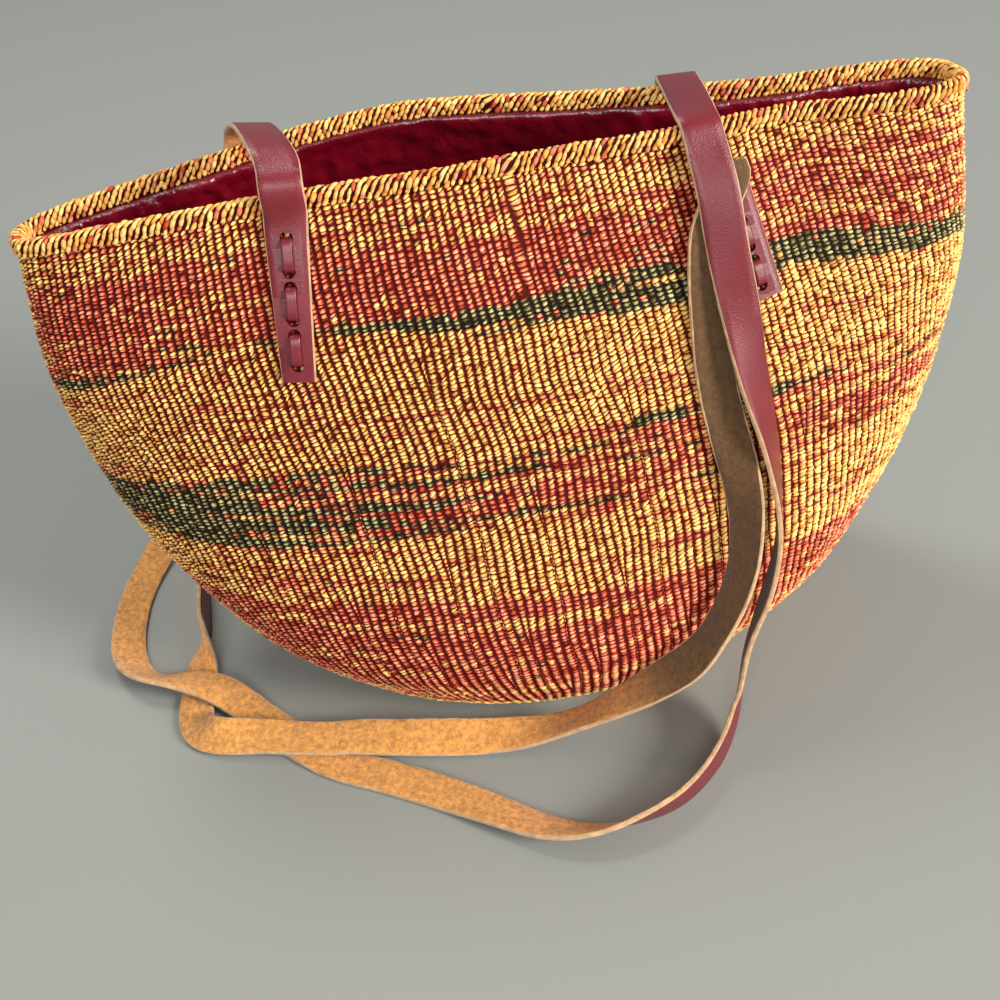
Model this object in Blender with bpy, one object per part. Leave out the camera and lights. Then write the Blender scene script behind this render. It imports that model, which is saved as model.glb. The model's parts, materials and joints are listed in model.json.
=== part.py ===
"""Kiondo basket: twined sisal basket with a leather lining and two laced leather straps.

Metres, +Z up. The origin is the centre of the base on the floor, +X along the mouth,
and the front of the basket faces -Y.
"""
import math

import bmesh
import bpy
from mathutils import Matrix, Vector

# Basket body, measured on the outer face of the weave
MOUTH_HEIGHT = 0.292
BASE_HALF_LENGTH = 0.124
BASE_HALF_DEPTH = 0.084
BELLY_HALF_LENGTH = 0.183
BELLY_FRONT_DEPTH = 0.1155
BELLY_BACK_DEPTH = 0.110
SHOULDER_HALF_LENGTH = 0.2345
SHOULDER_FRONT_DEPTH = 0.068
SHOULDER_BACK_DEPTH = 0.073
MOUTH_HALF_LENGTH = 0.230
MOUTH_FRONT_DEPTH = 0.033
MOUTH_BACK_DEPTH = 0.042
LEFT_CORNER_DROP = 0.020
RIGHT_CORNER_DRAW = 0.006
BASE_RING_HEIGHT = 0.012

# Thicknesses of the skins and the fits between them
WEAVE_THICKNESS = 0.0045
LINING_THICKNESS = 0.0012
LINING_FIT = 0.0005
STRAP_FIT = 0.0008
LACE_FIT = 0.0008
SEAT_GAP = 0.0003
RIM_RADIUS = 0.0042
SEAM_THREAD_RADIUS = 0.0005
SEAM_THREAD_DROP = 0.0015

# Straps, laces and their holes
STRAP_WIDTH = 0.0195
STRAP_THICKNESS = 0.0026
LACE_WIDTH = 0.0050
LACE_THICKNESS = 0.0014
HOLE_RADIUS = 0.0030
TAB_LEFT_SLANT = 0.003
TAB_RIGHT_SLANT = 0.013
TAB_END_DROP = 0.0715
FIRST_HOLE_DROP = 0.0105
STITCH_LENGTH = 0.0135
STITCH_SPACE = 0.0065
STITCH_COUNT = 3
FOLD_DROP = 0.0065
FOLD_RADIUS = 0.0027
ARCH_HEIGHT = 0.0080

# Hinge line of the back strap's floor loop: clearance in front of the strap at the right,
# lift over its upper face at the left, and cut gap
HINGE_CLEARANCE = 0.0008
HINGE_LIFT = 0.0030
HINGE_GAP = 0.0003
HINGE_RIGHT_ROW = 1
HINGE_LEFT_ROW = 12

# Fineness of the meshes
WALL_COLUMNS = 52
WALL_ROWS = 11
RIM_SIDES = 8
THREAD_SIDES = 6
HOLE_SIDES = 8
STRAP_STEP = 0.014
STRAP_TURN = math.radians(14)
SPLINE_STEP = 0.001
WELD_DISTANCE = 0.00001
FOLD_STEPS = 6

# Where the laced tabs fold over the rim, and where each strap meets the far rim
FRONT_TAB_LEFT_SHARE = -0.4522
FRONT_TAB_RIGHT_SHARE = 0.4130
BACK_TAB_LEFT_SHARE = -0.4087
BACK_TAB_RIGHT_SHARE = 0.4261
FRONT_FAR_SHARE = -0.5435
BACK_FAR_SHARE = 0.3587

# Heights of the body's named sections, as shares of the mouth height
SECTION_HEIGHT_SHARES = (0.0, 0.08, 0.2, 0.4, 0.7, 1.0)
# How far the heel lies from base to belly, and the waist from belly to shoulder
HEEL_LENGTH_SHARE = 0.46
HEEL_DEPTH_SHARE = 0.59
WAIST_LENGTH_SHARE = 0.67
WAIST_DEPTH_SHARE = 0.45
# Edges of the mouth: how full they are from the left corner to the right
FRONT_EDGE_LENGTH_SHARES = (-1.0, -0.83, -0.70, -0.45, -0.25, -0.12, 0.02, 0.14,
                            0.30, 0.38, 0.46, 0.54, 0.62, 0.72, 0.84, 1.0)
FRONT_EDGE_FULLNESS_SHARES = (1.0, 1.02, 1.08, 1.14, 1.22, 1.24, 1.12, 1.04,
                              0.98, 0.90, 0.81, 0.72, 0.66, 0.80, 0.95, 1.0)
BACK_EDGE_LENGTH_SHARES = (-1.0, -0.80, -0.62, -0.42, -0.22, -0.05, 0.12,
                           0.28, 0.42, 0.52, 0.65, 0.85, 1.0)
BACK_EDGE_FULLNESS_SHARES = (0.60, 0.64, 0.80, 1.06, 1.24, 1.12, 0.90,
                             0.72, 0.61, 0.55, 0.54, 0.70, 0.84)
MOUTH_FORM_START_SHARE = 0.55
NORMAL_REACH = 0.01


def clear_scene():
    for item in list(bpy.data.objects):
        bpy.data.objects.remove(item, do_unlink=True)


def smooth_value(places, values, place):
    """Read a smooth curve through the values at a place between the first and last."""
    last = len(places) - 1
    place = min(max(place, places[0]), places[last])
    k = 0
    while k < last - 1 and place > places[k + 1]:
        k += 1
    slopes = []
    for i in (k, k + 1):
        low, high = max(i - 1, 0), min(i + 1, last)
        slopes.append((values[high] - values[low]) / (places[high] - places[low]))
    span = places[k + 1] - places[k]
    f = (place - places[k]) / span
    return ((2 * f ** 3 - 3 * f ** 2 + 1) * values[k] + (f ** 3 - 2 * f ** 2 + f) * span * slopes[0]
            + (3 * f ** 2 - 2 * f ** 3) * values[k + 1] + (f ** 3 - f ** 2) * span * slopes[1])


def smooth_step(low, high, value):
    f = min(max((value - low) / (high - low), 0.0), 1.0)
    return f * f * (3 - 2 * f)


def between(a, b, share):
    return a + (b - a) * share


def body_sections(base, belly, shoulder, mouth, heel_share, waist_share):
    return (base, between(base, belly, heel_share), belly,
            between(belly, shoulder, waist_share), shoulder, mouth)


HALF_LENGTHS = body_sections(BASE_HALF_LENGTH, BELLY_HALF_LENGTH, SHOULDER_HALF_LENGTH,
                             MOUTH_HALF_LENGTH, HEEL_LENGTH_SHARE, WAIST_LENGTH_SHARE)
FRONT_DEPTHS = body_sections(BASE_HALF_DEPTH, BELLY_FRONT_DEPTH, SHOULDER_FRONT_DEPTH,
                             MOUTH_FRONT_DEPTH, HEEL_DEPTH_SHARE, WAIST_DEPTH_SHARE)
BACK_DEPTHS = body_sections(BASE_HALF_DEPTH, BELLY_BACK_DEPTH, SHOULDER_BACK_DEPTH,
                            MOUTH_BACK_DEPTH, HEEL_DEPTH_SHARE, WAIST_DEPTH_SHARE)


def corner_power(up):
    """Sections are ellipses at the base and have fuller corners at the mouth."""
    return 2.0 + mouth_form(up)


def mouth_form(up):
    """How far the wall has taken on the form of the mouth."""
    return smooth_step(MOUTH_FORM_START_SHARE, 1.0, up)


def half_length_at(u, up):
    """Half the body's length, a little less towards the right end of the mouth."""
    draw = RIGHT_CORNER_DRAW * mouth_form(up) if u > 0 else 0.0
    return smooth_value(SECTION_HEIGHT_SHARES, HALF_LENGTHS, up) - draw


def corner_drop(u, up):
    return LEFT_CORNER_DROP * up * up * u * u if u < 0 else 0.0


def skin_point(around, up, depth):
    """A point at a depth inside the weave's outer face: around is an angle from +X,
    up is a share of the height."""
    power = 2.0 / corner_power(up)
    u = math.copysign(abs(math.cos(around)) ** power, math.cos(around))
    v = math.copysign(abs(math.sin(around)) ** power, math.sin(around))
    if v < 0:
        depths = FRONT_DEPTHS
        edge = smooth_value(FRONT_EDGE_LENGTH_SHARES, FRONT_EDGE_FULLNESS_SHARES, u)
    else:
        depths = BACK_DEPTHS
        edge = smooth_value(BACK_EDGE_LENGTH_SHARES, BACK_EDGE_FULLNESS_SHARES, u)
    fullness = between(1.0, edge, mouth_form(up))
    half_depth = smooth_value(SECTION_HEIGHT_SHARES, depths, up) * fullness - depth
    return Vector((u * (half_length_at(u, up) - depth), v * half_depth,
                   up * MOUTH_HEIGHT - corner_drop(u, up)))


def body_normal(around, up):
    """The outward direction of the weave's outer face."""
    low_around, high_around = around - NORMAL_REACH, around + NORMAL_REACH
    low, high = max(up - NORMAL_REACH, 0.0), min(up + NORMAL_REACH, 1.0)
    along = skin_point(high_around, up, 0.0) - skin_point(low_around, up, 0.0)
    rise = skin_point(around, high, 0.0) - skin_point(around, low, 0.0)
    return along.cross(rise).normalized()


def wall_place(x, z, back=False):
    """The around and up of the wall's outer face at a given x and height."""
    up = min(z / MOUTH_HEIGHT, 1.0)
    for _ in range(6):
        u = min(max(x / half_length_at(x, up), -1.0), 1.0)
        up = min(max((z + corner_drop(u, up)) / MOUTH_HEIGHT, 0.0), 1.0)
    around = math.acos(math.copysign(abs(u) ** (corner_power(up) / 2.0), u))
    return (around if back else -around), up


def on_wall(x, z, out, back=False):
    around, up = wall_place(x, z, back)
    return skin_point(around, up, 0.0) + body_normal(around, up) * out


def wall_outward(x, z, back=False):
    return body_normal(*wall_place(x, z, back))


def wall_top(x, back=False):
    """Height of the wall's top edge at x."""
    return on_wall(x, MOUTH_HEIGHT, 0.0, back).z


def plain_material(name, colour, roughness, metallic=0.0):
    material = bpy.data.materials.new(name)
    material.use_nodes = True
    shader = material.node_tree.nodes["Principled BSDF"]
    shader.inputs["Base Color"].default_value = (*colour, 1.0)
    shader.inputs["Roughness"].default_value = roughness
    shader.inputs["Metallic"].default_value = metallic
    material.diffuse_color = (*colour, 1.0)
    return material


def add_object(name, mesh, material):
    item = bpy.data.objects.new(name, mesh)
    mesh.materials.append(material)
    bpy.context.collection.objects.link(item)
    return item


def grid_mesh(name, rings, cap_first=False, cap_last=False, mirrored_from=None):
    """Join closed rings of points, each with the same number, into one mesh. Each quad is
    split along the same diagonal, or along the other one from the ring mirrored_from."""
    bm = bmesh.new()
    rows = [[bm.verts.new(point) for point in ring] for ring in rings]
    count = len(rows[0])
    for k, (lower, upper) in enumerate(zip(rows, rows[1:])):
        mirrored = mirrored_from is not None and k >= mirrored_from
        for i in range(count):
            j = (i + 1) % count
            if mirrored:
                bm.faces.new((lower[i], lower[j], upper[i]))
                bm.faces.new((lower[j], upper[j], upper[i]))
            else:
                bm.faces.new((lower[i], lower[j], upper[j]))
                bm.faces.new((lower[i], upper[j], upper[i]))
    if cap_first:
        bm.faces.new(list(reversed(rows[0])))
    if cap_last:
        bm.faces.new(rows[-1])
    mesh = bpy.data.meshes.new(name)
    bmesh.ops.recalc_face_normals(bm, faces=bm.faces)
    bm.to_mesh(mesh)
    bm.free()
    return mesh


def around_angles():
    return [2 * math.pi * k / WALL_COLUMNS for k in range(WALL_COLUMNS)]


def shell_mesh(name, ups, outer_depth, inner_depth):
    """A skin of the basket at the given heights, between two depths, open above and below."""
    rings = [[skin_point(a, up, outer_depth) for a in around_angles()] for up in ups]
    rings += [[skin_point(a, up, inner_depth) for a in around_angles()] for up in reversed(ups)]
    rings.append(rings[0])
    return welded(grid_mesh(name, rings, mirrored_from=len(ups)))


def disc_mesh(name, low, high, inset):
    """A flat plate with the base's outline, drawn in by the inset."""
    outline = [skin_point(a, low / MOUTH_HEIGHT, inset) for a in around_angles()]
    rings = [[Vector((p.x, p.y, z)) for p in outline] for z in (low, high)]
    return grid_mesh(name, rings, cap_first=True, cap_last=True)


def catmull_rom(points, step):
    """Sample a smooth curve through the points every step or less."""
    ends = [points[0] * 2 - points[1]] + list(points) + [points[-1] * 2 - points[-2]]
    samples = []
    for a, b, c, d in zip(ends, ends[1:], ends[2:], ends[3:]):
        spans = [max((q - p).length, SPLINE_STEP) ** 0.5 for p, q in ((a, b), (b, c), (c, d))]
        t1, t2, t3 = spans[0], spans[0] + spans[1], sum(spans)
        count = max(1, math.ceil((c - b).length / step))
        for k in range(count):
            t = between(t1, t2, k / count)
            a1 = a.lerp(b, t / t1)
            a2 = b.lerp(c, (t - t1) / (t2 - t1))
            a3 = c.lerp(d, (t - t2) / (t3 - t2))
            b1 = a1.lerp(a2, t / t2)
            b2 = a2.lerp(a3, (t - t1) / (t3 - t1))
            samples.append(b1.lerp(b2, (t - t1) / (t2 - t1)))
    samples.append(points[-1].copy())
    return samples


def strap_frames(route):
    """Centre, direction and suede side at every millimetre of a strap's route."""
    points = [row[0] for row in route]
    centres = catmull_rom(points, SPLINE_STEP)
    counts = [max(1, math.ceil((q - p).length / SPLINE_STEP)) for p, q in zip(points, points[1:])]
    suedes = []
    for (_, first), (_, second), count in zip(route, route[1:], counts):
        for k in range(count):
            suedes.append(first.lerp(second, smooth_step(0.0, 1.0, k / count)))
    suedes.append(route[-1][1].copy())
    frames = []
    for k, centre in enumerate(centres):
        ahead = centres[min(k + 1, len(centres) - 1)]
        behind = centres[max(k - 1, 0)]
        along = (ahead - behind).normalized()
        suede = (suedes[k] - along * suedes[k].dot(along)).normalized()
        frames.append((centre, along, suede))
    return frames


def thin_frames(frames):
    """Keep the frames that the strap's bends and length need."""
    kept = [frames[0]]
    travelled = 0.0
    for last, now in zip(frames, frames[1:-1]):
        travelled += (now[0] - last[0]).length
        turn = max(now[1].angle(kept[-1][1]), now[2].angle(kept[-1][2]))
        if travelled >= STRAP_STEP or turn >= STRAP_TURN:
            kept.append(now)
            travelled = 0.0
    kept.append(frames[-1])
    return kept


def ribbon_corners(frame, width=STRAP_WIDTH, thickness=STRAP_THICKNESS):
    centre, along, suede = frame
    across = along.cross(suede).normalized() * (width / 2)
    lift = suede * (thickness / 2)
    return [centre - across - lift, centre + across - lift,
            centre + across + lift, centre - across + lift]


def cut(item, cutter, operation="DIFFERENCE"):
    """Cut with a guide object that the build leaves out."""
    cutter.hide_render = True
    cutter.display_type = "WIRE"
    modifier = item.modifiers.new(operation.lower(), "BOOLEAN")
    modifier.operation = operation
    modifier.solver = "EXACT"
    modifier.object = cutter


# Straps: each tab is laced to the wall at a share of the mouth, with a slant, front or back

LAYER = STRAP_THICKNESS + SEAT_GAP
SLANT_ROOM = STRAP_WIDTH * 0.75
TAB_OUT = STRAP_FIT + STRAP_THICKNESS / 2
LACE_OUT = STRAP_FIT + STRAP_THICKNESS + SEAT_GAP + LACE_THICKNESS / 2
LACE_IN = WEAVE_THICKNESS + LINING_FIT + LINING_THICKNESS + LACE_FIT + LACE_THICKNESS / 2
RIM_STAND = RIM_RADIUS + SEAT_GAP + STRAP_THICKNESS / 2
TABS = {
    "front_left": (FRONT_TAB_LEFT_SHARE, -TAB_LEFT_SLANT, False),
    "front_right": (FRONT_TAB_RIGHT_SHARE, TAB_RIGHT_SLANT, False),
    "back_left": (BACK_TAB_LEFT_SHARE, -TAB_LEFT_SLANT, True),
    "back_right": (BACK_TAB_RIGHT_SHARE, TAB_RIGHT_SLANT, True),
}


def tab_place(tab, drop):
    """The x and height of a tab's middle line at a drop below the wall's top edge."""
    share, slant, back = TABS[tab]
    x = share * MOUTH_HALF_LENGTH + slant * drop / TAB_END_DROP
    return x, wall_top(x, back) - drop


def tab_point(tab, drop, out):
    x, z = tab_place(tab, drop)
    return on_wall(x, z, out, TABS[tab][2])


def tab_outward(tab, drop):
    x, z = tab_place(tab, drop)
    return wall_outward(x, z, TABS[tab][2])


def tab_rows(tab):
    """Route rows up a tab from its end to its fold, the suede against the wall."""
    rows = []
    for share in TAB_ROW_SHARES:
        drop = between(TAB_END_DROP, FOLD_DROP, share)
        rows.append((tab_point(tab, drop, TAB_OUT), -tab_outward(tab, drop)))
    return rows


def fold_rows(tab):
    """Route rows over a tab's top fold, out from the wall and down."""
    centre = tab_point(tab, FOLD_DROP, TAB_OUT + FOLD_RADIUS)
    out = tab_outward(tab, FOLD_DROP)
    rise = tab_point(tab, FOLD_DROP, TAB_OUT) - tab_point(tab, TAB_END_DROP / 2, TAB_OUT)
    rise = (rise - out * rise.dot(out)).normalized()
    rows = []
    for step in range(1, FOLD_STEPS + 1):
        angle = math.pi * step / FOLD_STEPS
        spoke = rise * math.sin(angle) - out * math.cos(angle)
        rows.append((centre + spoke * FOLD_RADIUS, spoke))
    return rows


def rim_centre(around):
    """Centre of the rim braid above the wall's top edge."""
    return skin_point(around, 1.0, WEAVE_THICKNESS / 2) + Vector((0, 0, SEAT_GAP + RIM_RADIUS))


def over_mouth_rows(tab, far_share):
    """Route rows from a tab over both edges of the mouth to the far side of the wall."""
    near_share, _, back = TABS[tab]
    near_around = wall_place(near_share * MOUTH_HALF_LENGTH, MOUTH_HEIGHT, back)[0]
    far_around = wall_place(far_share * MOUTH_HALF_LENGTH, MOUTH_HEIGHT, not back)[0]
    near, far = rim_centre(near_around), rim_centre(far_around)
    inward, outward = -body_normal(near_around, 1.0), body_normal(far_around, 1.0)
    up = Vector((0, 0, 1))
    rows = []
    for forth, up_share, push in RIM_NEAR_SHARES:
        spoke = (inward * forth + up * up_share).normalized()
        rows.append((near + spoke * (RIM_STAND + push * LAYER), -spoke))
    rows.append((near.lerp(far, 0.5) + up * (RIM_STAND + ARCH_HEIGHT), -up))
    for forth, up_share, push in RIM_FAR_SHARES:
        spoke = (outward * forth + up * up_share).normalized()
        rows.append((far + spoke * (RIM_STAND + push * LAYER), -spoke))
    return rows


def wall_rows(shares, back, suede_out):
    """Route rows on the wall: x, height and distance out in shares of length, height, layer,
    and perhaps how far the strap turns from the wall towards +X, a share of a quarter turn."""
    rows = []
    for x_share, z_share, layers, *turn_share in shares:
        x, z = x_share * MOUTH_HALF_LENGTH, z_share * MOUTH_HEIGHT
        out = wall_outward(x, z, back)
        angle = sum(turn_share) * math.pi / 2
        side = Vector((0, 0, 1)).cross(out).normalized()
        facing = out * math.cos(angle) + side * math.sin(angle)
        rows.append((on_wall(x, z, layers * LAYER, back), facing if suede_out else -facing))
    return rows


def floor_rows(shares):
    """Route rows on the floor: x, y and lift in shares of length, base depth and layer."""
    rows = []
    for x_share, y_share, lift, *suede in shares:
        suede = Vector(suede).normalized() if suede else Vector((0, 0, 1))
        stand = math.sqrt(max(1 - suede.z ** 2, 0.0)) * STRAP_WIDTH / 2
        z = SEAT_GAP + stand + abs(suede.z) * STRAP_THICKNESS / 2 + lift * LAYER
        rows.append((Vector((x_share * MOUTH_HALF_LENGTH, y_share * BASE_HALF_DEPTH, z)), suede))
    return rows


def free_rows(shares):
    """Route rows in the air: x, y and z in shares of length, base depth and height."""
    return [(Vector((x * MOUTH_HALF_LENGTH, y * BASE_HALF_DEPTH, z * MOUTH_HEIGHT)),
             Vector(suede).normalized()) for x, y, z, *suede in shares]


TAB_ROW_SHARES = (0.0, 0.33, 0.66, 1.0)
RIM_NEAR_SHARES = ((-1.0, -0.1, 0.5), (-0.85, 0.6, 1.3), (-0.2, 1.0, 1.6))
RIM_FAR_SHARES = ((0.1, 1.0, 1.9), (0.8, 0.65, 1.7), (1.0, -0.1, 1.0))

# The front strap behind the basket, down to the floor and along it to the front
FRONT_BEHIND_SHARES = ((-0.578, 0.897, 1.6), (-0.622, 0.80, 0.9), (-0.687, 0.616, 0.75),
                       (-0.757, 0.438, 0.8))
FRONT_DESCENT_SHARES = ((-0.865, 0.917, 0.205, -0.95, -0.15, -0.1),)
FRONT_FLOOR_SHARES = (
    (-0.920, 0.786, 0.3, -1.0, 0.05, -0.1), (-0.909, 0.490, 0.0, -1.0, 0.05, -0.1),
    (-0.900, 0.245, 0.0, -1.0, 0.05, -0.12), (-0.893, 0.040, 0.0, -0.95, 0.0, -0.2),
    (-0.893, -0.130, 0.0, -0.75, 0.0, 0.65), (-0.894, -0.300, 0.0, -0.05, 0.0, 1.0),
    (-0.898, -0.490, 0.0), (-0.896, -0.720, 0.0, -0.03, -0.03, 1.0),
    (-0.862, -0.900, 0.0, -0.40, -0.56, 0.72), (-0.790, -0.965, 0.6, -0.25, -0.45, 0.86),
    (-0.720, -0.990, 1.3, -0.05, -0.2, 0.98), (-0.636, -1.060, 1.5, 0.0, -0.15, 0.99),
    (-0.518, -1.115, 1.5, 0.0, -0.2, 0.98), (-0.403, -1.193, 1.2, 0.0, -0.4, 0.92),
    (-0.287, -1.249, 0.6, 0.0, -0.5, 0.87), (-0.171, -1.280, 0.8, 0.0, -0.25, 0.97),
    (-0.020, -1.330, 2.2, -0.1, 0.05, 1.0))
FRONT_RISE_SHARES = ((0.257, 0.202, 5.0, -0.78), (0.312, 0.234, 4.5, -0.78),
    (0.355, 0.274, 4.3, -0.76), (0.385, 0.318, 4.2, -0.73), (0.403, 0.384, 4.1, -0.67),
    (0.403, 0.474, 3.4, -0.44), (0.393, 0.540, 1.5, -0.13), (0.370, 0.647, 1.0),
    (0.367, 0.729, 1.0), (0.366, 0.800, 1.2), (0.370, 0.856, 1.7), (0.380, 0.918, 2.35))

# The back strap down the front wall, round the floor loop and behind the basket
BACK_RUN_SHARES = ((0.375, 0.972, 4.0, 0.04), (0.387, 0.921, 4.0, 0.09),
    (0.397, 0.851, 3.9, 0.13), (0.416, 0.757, 3.8, 0.22), (0.439, 0.644, 3.4, 0.33),
    (0.467, 0.533, 3.7, 0.50), (0.481, 0.420, 3.9, 0.63), (0.474, 0.345, 4.1, 0.69),
    (0.446, 0.284, 4.3, 0.73))
BACK_DROP_SHARES = ((0.408, -1.325, 0.178, -0.92, 0.3, -0.25),
    (0.393, -1.353, 0.120, -0.93, 0.25, -0.25), (0.376, -1.420, 0.065, -0.95, 0.2, -0.2),
    (0.352, -1.530, 0.046, -0.92, 0.35, -0.05))
BACK_FLOOR_SHARES = (
    (0.325, -1.645, 0.0, -0.85, 0.5, 0.1), (0.253, -1.866, 0.0, -0.55, 0.65, 0.5),
    (0.184, -1.999, 0.0, -0.4, 0.68, 0.6), (0.117, -2.059, 0.0, -0.25, 0.68, 0.68),
    (0.039, -2.097, 0.0, -0.1, 0.6, 0.79), (-0.035, -2.076, 0.0, 0.0, 0.5, 0.87),
    (-0.107, -1.996, 0.0, 0.1, 0.4, 0.91), (-0.197, -1.825, 0.0, 0.1, 0.2, 0.97),
    (-0.302, -1.628, 0.0), (-0.412, -1.453, 0.0), (-0.552, -1.250, 0.0), (-0.642, -1.040, 0.0),
    (-0.728, -0.800, 0.0), (-0.792, -0.620, 0.6), (-0.840, -0.510, 1.8),
    (-0.889, -0.450, 2.0, 0.0, 0.1, 1.0), (-0.942, -0.395, 1.3, 0.05, 0.35, 0.94),
    (-0.994, -0.373, 0.3, 0.1, 0.72, 0.68),
    (-1.049, -0.264, 0.0, 0.35, 0.55, 0.75), (-1.088, -0.049, 0.0, 0.35, 0.1, 0.93),
    (-1.103, 0.200, 0.0, 0.2, 0.0, 0.98), (-1.100, 0.574, 0.0, 0.2, 0.0, 0.98),
    (-1.076, 0.871, 0.0, 0.25, 0.1, 0.96), (-1.035, 1.155, 0.8, 0.4, 0.25, 0.88))
BACK_CLIMB_SHARES = ((-0.935, 1.380, 0.110, 0.1, 0.5, 0.85),
                     (-0.809, 1.333, 0.212, -0.1, 0.85, 0.5))
BACK_BEHIND_SHARES = ((-0.687, 0.360, 0.9), (-0.580, 0.497, 1.0), (-0.500, 0.634, 1.7),
                      (-0.452, 0.760, 2.6), (-0.422, 0.873, 2.7))


def front_strap_route():
    return (tab_rows("front_left") + over_mouth_rows("front_left", FRONT_FAR_SHARE)
            + wall_rows(FRONT_BEHIND_SHARES, True, False) + free_rows(FRONT_DESCENT_SHARES)
            + floor_rows(FRONT_FLOOR_SHARES) + wall_rows(FRONT_RISE_SHARES, False, True)
            + list(reversed(fold_rows("front_right"))) + list(reversed(tab_rows("front_right"))))


def back_strap_route():
    return (tab_rows("back_right") + over_mouth_rows("back_right", BACK_FAR_SHARE)
            + wall_rows(BACK_RUN_SHARES, False, False) + free_rows(BACK_DROP_SHARES)
            + floor_rows(BACK_FLOOR_SHARES) + free_rows(BACK_CLIMB_SHARES)
            + wall_rows(BACK_BEHIND_SHARES, True, True)
            + list(reversed(fold_rows("back_left"))) + list(reversed(tab_rows("back_left"))))


def off_floor(frame):
    """Raise a frame whose lowest corner would reach into the floor."""
    low = min(corner.z for corner in ribbon_corners(frame))
    centre, along, suede = frame
    return centre + Vector((0, 0, max(SEAT_GAP - low, 0.0))), along, suede


def off_wall(frame):
    """Push a frame out until its corners clear the wall's outer face."""
    centre, along, suede = frame
    deepest, push = 0.0, Vector()
    for corner in ribbon_corners(frame):
        if corner.z > MOUTH_HEIGHT:
            continue
        around, up = wall_place(corner.x, corner.z, corner.y > 0)
        out = body_normal(around, up)
        lacking = STRAP_FIT - (corner - skin_point(around, up, 0.0)).dot(out)
        if lacking > deepest:
            deepest, push = lacking, out * lacking
    return centre + push, along, suede


def nearest_frame(frames, place):
    return min(range(len(frames)), key=lambda k: (frames[k][0] - place).length)


def slid_ring(frame, point, normal):
    """A frame's corners slid along the strap onto a plane."""
    along = frame[1]
    return [corner + along * ((point - corner).dot(normal) / along.dot(normal))
            for corner in ribbon_corners(frame)]


def strap_piece(name, frames, material, start=None, end=None):
    """A length of strap, its ends square or slid onto a cutting plane."""
    kept = [off_floor(off_wall(frame)) for frame in thin_frames(frames)]
    first, last = kept[0][0], kept[-1][0]
    rings = []
    for frame in kept[1:-1]:
        near_start = start and (frame[0] - first).length < SLANT_ROOM
        near_end = end and (frame[0] - last).length < SLANT_ROOM
        if not (near_start or near_end):
            rings.append(ribbon_corners(frame))
    first_ring = slid_ring(kept[0], *start) if start else ribbon_corners(kept[0])
    last_ring = slid_ring(kept[-1], *end) if end else ribbon_corners(kept[-1])
    rings = [first_ring] + rings + [last_ring]
    return add_object(name, grid_mesh(name, rings, cap_first=True, cap_last=True), material)


def hole_drops():
    """Drops of a tab's lace holes, in pairs that each stitch joins."""
    drops = []
    for stitch in range(STITCH_COUNT):
        start = FIRST_HOLE_DROP + stitch * (STITCH_LENGTH + STITCH_SPACE)
        drops += [start, start + STITCH_LENGTH]
    return drops


def hole_cutter(tab):
    """Punches for a tab's lace holes, through strap, weave and lining."""
    bm = bmesh.new()
    top, bottom = LACE_OUT, -LACE_IN - LACE_THICKNESS
    for drop in hole_drops():
        out = tab_outward(tab, drop)
        centre = tab_point(tab, drop, between(bottom, top, 0.5))
        place = Matrix.Translation(centre) @ out.to_track_quat("Z", "Y").to_matrix().to_4x4()
        bmesh.ops.create_cone(bm, cap_ends=True, segments=HOLE_SIDES, radius1=HOLE_RADIUS,
                              radius2=HOLE_RADIUS, depth=top - bottom, matrix=place)
    mesh = bpy.data.meshes.new("punch_" + tab)
    bm.to_mesh(mesh)
    bm.free()
    item = bpy.data.objects.new("punch_" + tab, mesh)
    bpy.context.collection.objects.link(item)
    return item


def lace_mesh(tab):
    """One thong in and out of a tab's holes, three stitches on the outside."""
    drops = hole_drops()
    path = [tab_point(tab, drops[0] - LACE_WIDTH, -LACE_IN)]
    outside = True
    for drop in drops:
        first, second = (-LACE_IN, LACE_OUT) if outside else (LACE_OUT, -LACE_IN)
        path += [tab_point(tab, drop, first), tab_point(tab, drop, second)]
        outside = not outside
    path.append(tab_point(tab, drops[-1] + LACE_WIDTH, -LACE_IN))
    across = tab_outward(tab, drops[0]).cross(path[-1] - path[0]).normalized() * (LACE_WIDTH / 2)
    rings = []
    for k, point in enumerate(path):
        before = (point - path[max(k - 1, 0)]).normalized()
        after = (path[min(k + 1, len(path) - 1)] - point).normalized()
        along = (before + after).normalized()
        side = along.cross(across).normalized()
        turn = max(along.dot(after if after.length > 0.5 else before), 0.5)
        side *= LACE_THICKNESS / 2 / turn
        rings.append([point - across - side, point + across - side,
                      point + across + side, point - across + side])
    return grid_mesh("lace_" + tab, rings, cap_first=True, cap_last=True)


def ring_tube_mesh(name, centres, radius, sides):
    """A closed tube round the mouth, its rings upright."""
    rings = []
    count = len(centres)
    for k, centre in enumerate(centres):
        along = centres[(k + 1) % count] - centres[k - 1]
        out = Vector((along.y, -along.x, 0)).normalized()
        up = Vector((0, 0, 1))
        rings.append([centre + out * radius * math.cos(a) + up * radius * math.sin(a)
                      for a in (2 * math.pi * (s + 0.5) / sides for s in range(sides))])
    rings.append(rings[0])
    return welded(grid_mesh(name, rings))


def welded(mesh):
    """Join the first and last rings of a closed sweep."""
    bm = bmesh.new()
    bm.from_mesh(mesh)
    bmesh.ops.remove_doubles(bm, verts=bm.verts, dist=WELD_DISTANCE)
    bmesh.ops.recalc_face_normals(bm, faces=bm.faces)
    bm.to_mesh(mesh)
    bm.free()
    return mesh


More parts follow.
